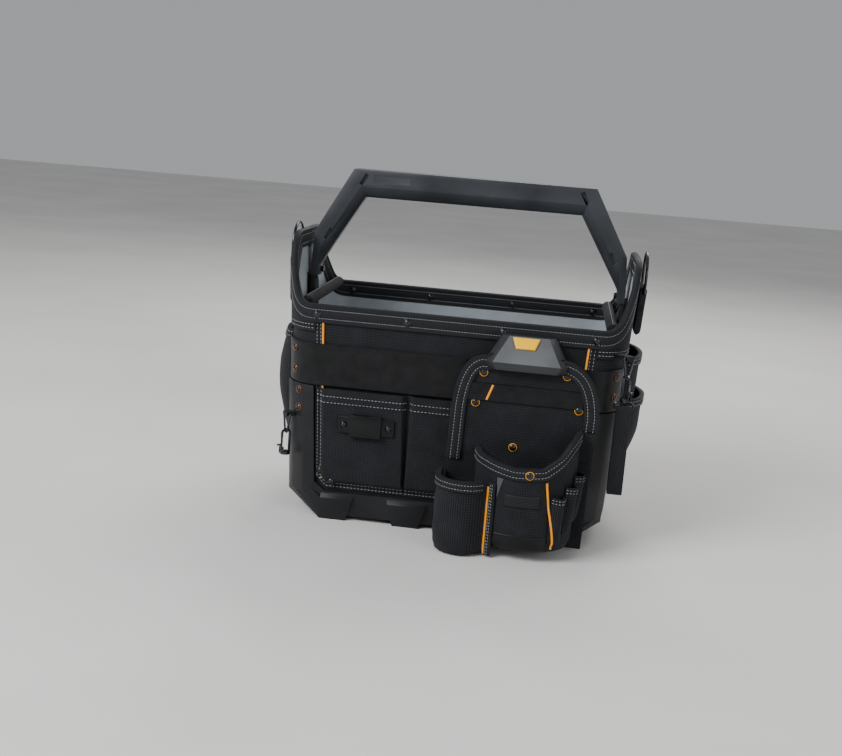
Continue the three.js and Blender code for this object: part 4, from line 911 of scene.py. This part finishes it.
# Snap hooks.
# Gunmetal spring hooks hang from rings in webbing tabs, at the right front corner and low on the left
# end. The right one carries a turning eye with a loop of webbing.
for node_name, name, body, width in (
        ("corner_tab", "right_hook_tab", "tote", 0.5),
        ("hook_ring", "right_hook_ring", "tote", 0.4),
        ("snap_hook", "right_spring_hook", "tote", 0.4),
        ("hook_gate", "right_spring_gate", "right_gate", 0.3),
        ("swivel_eye", "turning_eye", "swivel", 0.4),
        ("left_tab", "left_hook_tab", "tote", 0.5),
        ("left_ring", "left_hook_ring", "tote", 0.4),
        ("left_hook", "left_spring_hook", "tote", 0.4),
        ("left_gate", "left_spring_gate", "left_gate", 0.3)):
    material, slot = (plain_webbing, "webbing") if name.endswith("_tab") else (gunmetal, "steel")
    softened(node_name, name, material, slot, width, body)

strap_low, strap_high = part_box("loop_strap")
strap_middle = (strap_low + strap_high) / 2
strap_wide, strap_thick, top_bend = (strap_high.x - strap_low.x) / 2, 0.0016, 0.0026
low_bend = (strap_high.y - strap_low.y - strap_thick) / 2
high_z, low_z = strap_high.z - strap_thick / 2 - top_bend, strap_low.z + strap_thick / 2 + low_bend
lean = math.asin((low_bend - top_bend) / (high_z - low_z))
bends = [Vector((strap_middle.x, strap_middle.y + math.cos(angle) * radius, z + math.sin(angle) * radius))
         for z, radius, start, end in ((high_z, top_bend, math.pi + lean, -lean),
                                       (low_z, low_bend, -lean, -math.pi + lean))
         for angle in span(start, end, 0.26)]
loop_path = []
for first, second in zip(bends, bends[1:] + bends[:1]):
    count = max(1, round((second - first).length / 0.004))
    loop_path += [first.lerp(second, i / count) for i in range(count)]
rings, thinned = [], {1: 0.5, 0.8: 0.86}
for point, (before, after) in zip(loop_path, neighbours(loop_path, True)):
    run = (after - before).normalized()
    out = Vector((0, run.z, -run.y)) * strap_thick / 2
    rings.append([point + Vector((strap_wide * share * face, 0, 0)) + out * thinned.get(abs(share), 1) * face
                  for face in (1, -1) for share in (-1, -0.97, -0.8, -0.72, 0, 0.72, 0.8, 0.97, 1)])
webbing_loop = loft("webbing_loop", rings, measured(rings[0]), measured(loop_path), plain_webbing, "webbing",
                    "swivel", True, sharp=60)
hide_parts("loop_strap")

# Pouch panel.
# The clip-on pouch hangs before the right half of the front: a flat padded panel with an arched, bound
# top, a plain woven label band and rivets with yellow rings.
pouch_face, pouch_foot = 150, 6


def split(start, end, count):
    return [start.lerp(end, share) for share in steps(0, 1, count)[1:]]


def bend(start, control, end):
    return [start.lerp(control, share).lerp(control.lerp(end, share), share) for share in steps(0, 1, 10)[1:]]


corner_low_left, corner_low_right = Vector((3, pouch_foot)), Vector((171, pouch_foot))
shoulder_left, shoulder_right = Vector((7, 165)), Vector((175, 165))
arch_left, arch_right = Vector((37, 225)), Vector((133, 227))
left_side = split(corner_low_left, shoulder_left, 20)
over_top = (bend(shoulder_left, Vector((11, 221)), arch_left) + split(arch_left, arch_right, 12)
            + bend(arch_right, Vector((171, 221)), shoulder_right))
right_side = split(shoulder_right, corner_low_right, 20)
panel_edge = [corner_low_left, corner_low_left.lerp(left_side[0], 0.5), *left_side, *over_top, *right_side,
              *split(corner_low_right, corner_low_left, 19)[:-1]]


def slab(name, outline, through, pressed, axes=(0, 2)):
    """Closed plate behind an outline. Its face is pressed in between the edges, its back is flat, and its
    texture lies straight across the two axes."""
    centre = sum(outline, Vector()) / len(outline)
    shares = (0.03, 0.2, 0.4, 0.6, 0.75, 0.86, 0.94, 0.985, 1)
    rings = [[centre + (point - centre) * share + through * pressed * eased((1 - share) / 0.2)
              + through * 0.15 * (share == 1) for point in outline] for share in shares]
    rings += [[centre + (point - centre) * share + through for point in outline]
              for share in reversed(shares)]
    made = loft(name, rings, range(len(outline) + 1), range(len(rings) + 1), black_cloth, "black_cloth")
    corners = [made.data.vertices[loop.vertex_index].co for loop in made.data.loops]
    made.data.uv_layers["cloth"].data.foreach_set("uv", [corner[axis] for corner in corners for axis in axes])
    return made


back_panel = slab("pouch_panel", [at(point.x, -pouch_face, point.y) for point in panel_edge],
                  Vector((0, 0.003, 0)), 0.25)
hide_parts("pouch_back")


def on_panel(across, height, out):
    return at(across, -pouch_face - out, height)


bound_way = [(point.x, point.y) for point in [point for point in left_side if point.y > 101] + over_top
             + [point for point in right_side if point.y > 149]]
panel_binding = bound_edge("pouch_panel_edge", bound_way, on_panel, -3, 0, 15, 1.6)
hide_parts("pouch_back_binding")
label = cloth("pouch_label_band", span(24, 157, 4),
              lambda across: [173.5, 174, 176, 180, 184, 188, 191, 193, 193.5], on_panel,
              lambda across, height: 1.3 + 0.1 * wrinkle(across, height, 20, 41.0), 1, coated, "smooth_band")
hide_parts("pouch_label")
piping("label_dash", [on_panel(45.5, 174.6, 1.35), on_panel(51.8, 192.6, 1.35)], 1.2, flat=0.5,
       up=Vector((0, 1, 0)))
pouch_stitches = [edge_row(bound_way, on_panel, down, 2.3) for down in (3.6, 11.4)]

# Main pouch pocket.
# A deep pocket with a rounded front, a bound rim that climbs to the right, a webbing patch, a coated
# strip along its foot and orange piping down its right side.
main_length = 183.49
main_rim = ((0, 0.25), (0.25, 0.15), (0.45, 0), (0.6, 0.05), (0.72, 0.4), (0.8, 0.72), (0.9, 0.95), (1, 1))


def main_plan(share):
    """The pocket's round in plan: a superellipse that stands out from the panel."""
    angle, power = math.pi * share, 2 / 2.2
    reach = math.copysign(abs(math.cos(angle)) ** power, math.cos(angle))
    return Vector((99 - 59 * reach, -pouch_face - 0.3 - 55.7 * abs(math.sin(angle)) ** power))


def standing(plan, share, height, out):
    """A place on a wall that stands on a curve in plan."""
    share = clamp(share)
    way = (plan(min(share + 1e-4, 1)) - plan(max(share - 1e-4, 0))).normalized()
    foot = plan(share)
    return at(foot.x + way.y * out, foot.y - way.x * out, height)


def on_main(along, height, out):
    return standing(main_plan, along / main_length, height, out)


def main_top(along):
    return 110 + 40 * table_value(main_rim, clamp(along / main_length))


def main_face(along, height):
    tuck = 3 * (1 - eased((height - 14) / 9))
    calm = eased((height - 18) / 12) * eased((main_top(along) - 14 - height) / 14)
    ends = eased(along / 15) * eased((main_length - along) / 15)
    soft = 0.9 + 0.9 * wrinkle(along, height, 30, 51.0) + 0.4 * wrinkle(along, height, 12, 52.0)
    return -tuck - max(soft, 0) * calm * ends


def main_rows(along):
    return [14, 14.7, 16, 18, 21] + steps(23, main_top(along) - 0.6, 24) + [main_top(along)]


main_cloth = cloth("main_pouch_pocket", span(0, main_length, 2.6), main_rows, on_main, main_face, 1.6,
                   black_cloth)
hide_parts("pouch_pocket_main")
slab("main_pouch_floor", [on_main(along, 14.2, -3.6) for along in steps(0, main_length, 59)],
     Vector((0, 0, 0.0014)), 0.1, axes=(0, 1))
main_edge = [(along, main_top(along)) for along in span(main_length * 0.05, main_length * 0.95, 3)]
main_binding = bound_edge("main_pouch_edge", main_edge, on_main, -1.6, 0, 12, 1.6)
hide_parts("pouch_pocket_binding")
pouch_stitches += [edge_row(main_edge, on_main, down, 2.3) for down in (2.9, 9.1)]


def main_patch(name, start, end, low, high, stand, material, slot):
    cloth(name, span(start, end, 2.6),
          lambda along: [low, low + 0.6] + span(low + 2, high - 2, 3) + [high - 0.6, high], on_main,
          lambda along, height: main_face(along, height) + stand - (0.35 if height in (low, high) else 0),
          stand - 0.15, material, slot)


main_patch("pouch_webbing_patch", 73, 108.5, 66, 79, 1.7, plain_webbing, "webbing")
main_patch("pouch_foot_strip", 63.5, 121, 15, 32, 1.1, coated, "smooth_band")
grey_cloth = woven("grey_cloth", (0.04, 0.041, 0.045), (0.1, 0.102, 0.108), 0.001, 0.0001, 0.8)
cloth("pouch_grey_gusset", span(62.5, 70, 1.25), lambda along: steps(72 + 3.2 * (along - 62.5), 97, 8),
      on_main, lambda along, height: main_face(along, height) + 0.75, 0.65, grey_cloth, "lining")

# Left pouch pocket and the narrow loops.
# A tall narrow pocket wraps the pouch's left edge and laps over the main one, where it is piped and
# sewn twice. Three narrow loops for pens step up round the right of the main pocket.
side_foot, side_top = 3, 89
side_points = [Vector(pair) for pair in ((3, -150.6), (0, -170.25), (3, -193), (19, -206.2), (39, -207.3))]
side_points += [((on_main(along, 0, 0.3) - middle) * 1000).xy for along in span(50.5, 61.5, 3.7)]


def side_plan(share):
    """A smooth curve through the pocket's points, a centripetal Catmull-Rom spline."""
    place = share * (len(side_points) - 1)
    i = min(int(place), len(side_points) - 2)
    t = place - i
    second, third = side_points[i], side_points[i + 1]
    first = side_points[i - 1] if i else second * 2 - third
    fourth = side_points[i + 2] if i + 2 < len(side_points) else third * 2 - second
    a, b, c = (math.sqrt((end - start).length) for start, end in
               ((first, second), (second, third), (third, fourth)))
    leaving = ((second - first) / a - (third - first) / (a + b) + (third - second) / b) * b
    arriving = ((third - second) / b - (fourth - second) / (b + c) + (fourth - third) / c) * b
    return (second * (2 * t ** 3 - 3 * t ** 2 + 1) + leaving * (t ** 3 - 2 * t ** 2 + t)
            + third * (3 * t ** 2 - 2 * t ** 3) + arriving * (t ** 3 - t ** 2))


side_length = sum((side_plan((step + 1) / 200) - side_plan(step / 200)).length for step in range(200))


def on_side(along, height, out):
    return standing(side_plan, along / side_length, height, out)


def side_face(along, height):
    share = along / side_length
    calm = eased((height - 8) / 15) * eased((side_top - 12 - height) / 12)
    free = eased(share / 0.1) * eased((0.6 - share) / 0.15)
    tuck = 2.2 * (1 - eased((height - side_foot) / 8)) * eased((0.75 - share) / 0.15)
    soft = 1.1 + 1.1 * wrinkle(along, height, 26, 61.0) + 0.5 * wrinkle(along, height, 11, 62.0)
    return 1.6 + max(soft, 0) * calm * free - tuck


side_cloth = cloth("left_pouch_pocket", span(0, side_length, 2.6),
                   lambda along: [3, 3.6, 5, 7, 10] + steps(12, side_top - 0.6, 22) + [side_top], on_side,
                   side_face, 1.6, black_cloth)
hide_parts("pouch_pocket_left")
floor_edge = [on_side(along, 3.2, -1.2) for along in span(0, side_length * 0.72, 4)]
floor_edge += [on_main(along, 3.2, 1.4) for along in span(46, 2, 4)]
if len(floor_edge) % 2:
    floor_edge.append(floor_edge[-1].lerp(floor_edge[0], 0.5))
slab("left_pouch_floor", floor_edge, Vector((0, 0, 0.0014)), 0.1, axes=(0, 1))
side_edge = [(along, side_top) for along in span(side_length * 0.06, side_length * 0.56, 3)]
side_binding = bound_edge("left_pouch_edge", side_edge, on_side, 0, 1.6, 10.5, 1.6)
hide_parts("pouch_pocket_left_binding")
pouch_stitches += [edge_row(side_edge, on_side, down, 3.9) for down in (2.6, 8)]


def down_side(share, low, high, out):
    along = side_length * share
    return [on_side(along, height, side_face(along, height) + out) for height in span(low, high, 3)]


piping("left_pouch_piping", down_side(0.68, 4, 84, 0.5), 1.35)
pouch_stitches += [down_side(share, 5, 86, 0.15) for share in (0.78, 0.86)]
loop_start, loop_wide, loop_low, loop_tall = 122.9, 18.5, 24, 56


def loop_face(start, low):
    def face(along, height):
        bow = math.sin(math.pi * clamp((along - start) / loop_wide))
        return 1.9 + 9 * bow * math.sqrt(max(height - low, 0) / loop_tall)
    return face


for number in range(3):
    start, low = loop_start + 19.6 * number, loop_low + 10 * number
    end, high = start + loop_wide, low + loop_tall
    face = loop_face(start, low)
    made = cloth(f"pouch_loop_{number + 1}", span(start, end, 1.4),
                 lambda along: [low, low + 0.5, low + 1.5, low + 3] + steps(low + 5, high - 1, 14) + [high],
                 on_main, face, 1.6, black_cloth)
    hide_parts(f"pouch_slot_{number + 1}")
    pouch_stitches += [[on_main(along, high - down, face(along, high - down) + 0.2)
                        for along in span(start + 1, end - 1, 1.5)] for down in (2.5, 6)]
stitches("pouch_stitches", pouch_stitches, pitch=0.0036, length=0.0025, radius=0.00032)
first_loop = loop_face(loop_start, loop_low)
piping_way = []
for share in span(0, 1, 0.03):
    along, height = 115.4 + 13.6 * share, 97 - 79 * share
    over = eased((along - 120.6) / 2.4) * eased((height - 21.5) / 2.6)
    piping_way.append(on_main(along, height, max(main_face(along, height) + 0.8,
                                                 (first_loop(along, height) + 0.6) * over)))
piping("main_pouch_piping", piping_way)

yellow_ring, tree = finish("yellow_ring", Roughness=0.4)
speck = specks(tree, in_space(tree), 300.0, 2.0)
dress(tree, ramp(tree, speck, 0.3, (0.8, 0.3, 0.006), 0.7, (0.95, 0.42, 0.015)))
pouch_rivets = [(on_panel(across, height, 0.1), on_panel(across, height, 10))
                for across, height in ((39.5, 206.5), (135.4, 211), (33, 170), (152.6, 172), (81, 120.5))]
pouch_rivets.append((on_main(96, main_top(96) - 6, 2.3), on_main(96, main_top(96) - 6, 12)))
rivets("pouch_rivets", pouch_rivets, 4.3, 2.4, 4.6, 0.45, yellow_ring)

# Hub and button.
# A faceted grey clip moulding hangs over the pouch's top and carries a yellow release button. Only its sloping
# front facet keeps the grey; every other facet gets a dark copy of it, which is painted shade.
hub_plastic = moulded("hub_plastic", (0.075, 0.077, 0.08), (0.11, 0.112, 0.116), 0.44, 0.3)
yellow_plastic = moulded("yellow_plastic", (0.92, 0.47, 0.0), (1.0, 0.56, 0.0), 0.34, 0.0)
# A dark copy of the hub's grey plastic: painted shade for the facets that do not face up and forward.
hub_painted_shade = moulded("hub_painted_shade_plastic", (0.012, 0.0125, 0.0135), (0.022, 0.023, 0.025), 0.44, 0.15)
hub = softened("pouch_hub", "pouch_clip_hub", hub_plastic, "hub_plastic", 1.0, segments=3)
hub.data.materials.append(hub_painted_shade)
# Painted shade by facing: the sloping front facet keeps the grey, all other facets take the dark copy.
for facet in hub.data.polygons:
    unshaded_facet = facet.normal.y < -0.35 and facet.normal.z > 0.3 and abs(facet.normal.x) < 0.3
    facet.material_index = 0 if unshaded_facet else 1
softened("pouch_button", "release_button", yellow_plastic, "yellow_plastic", 0.6, segments=3)
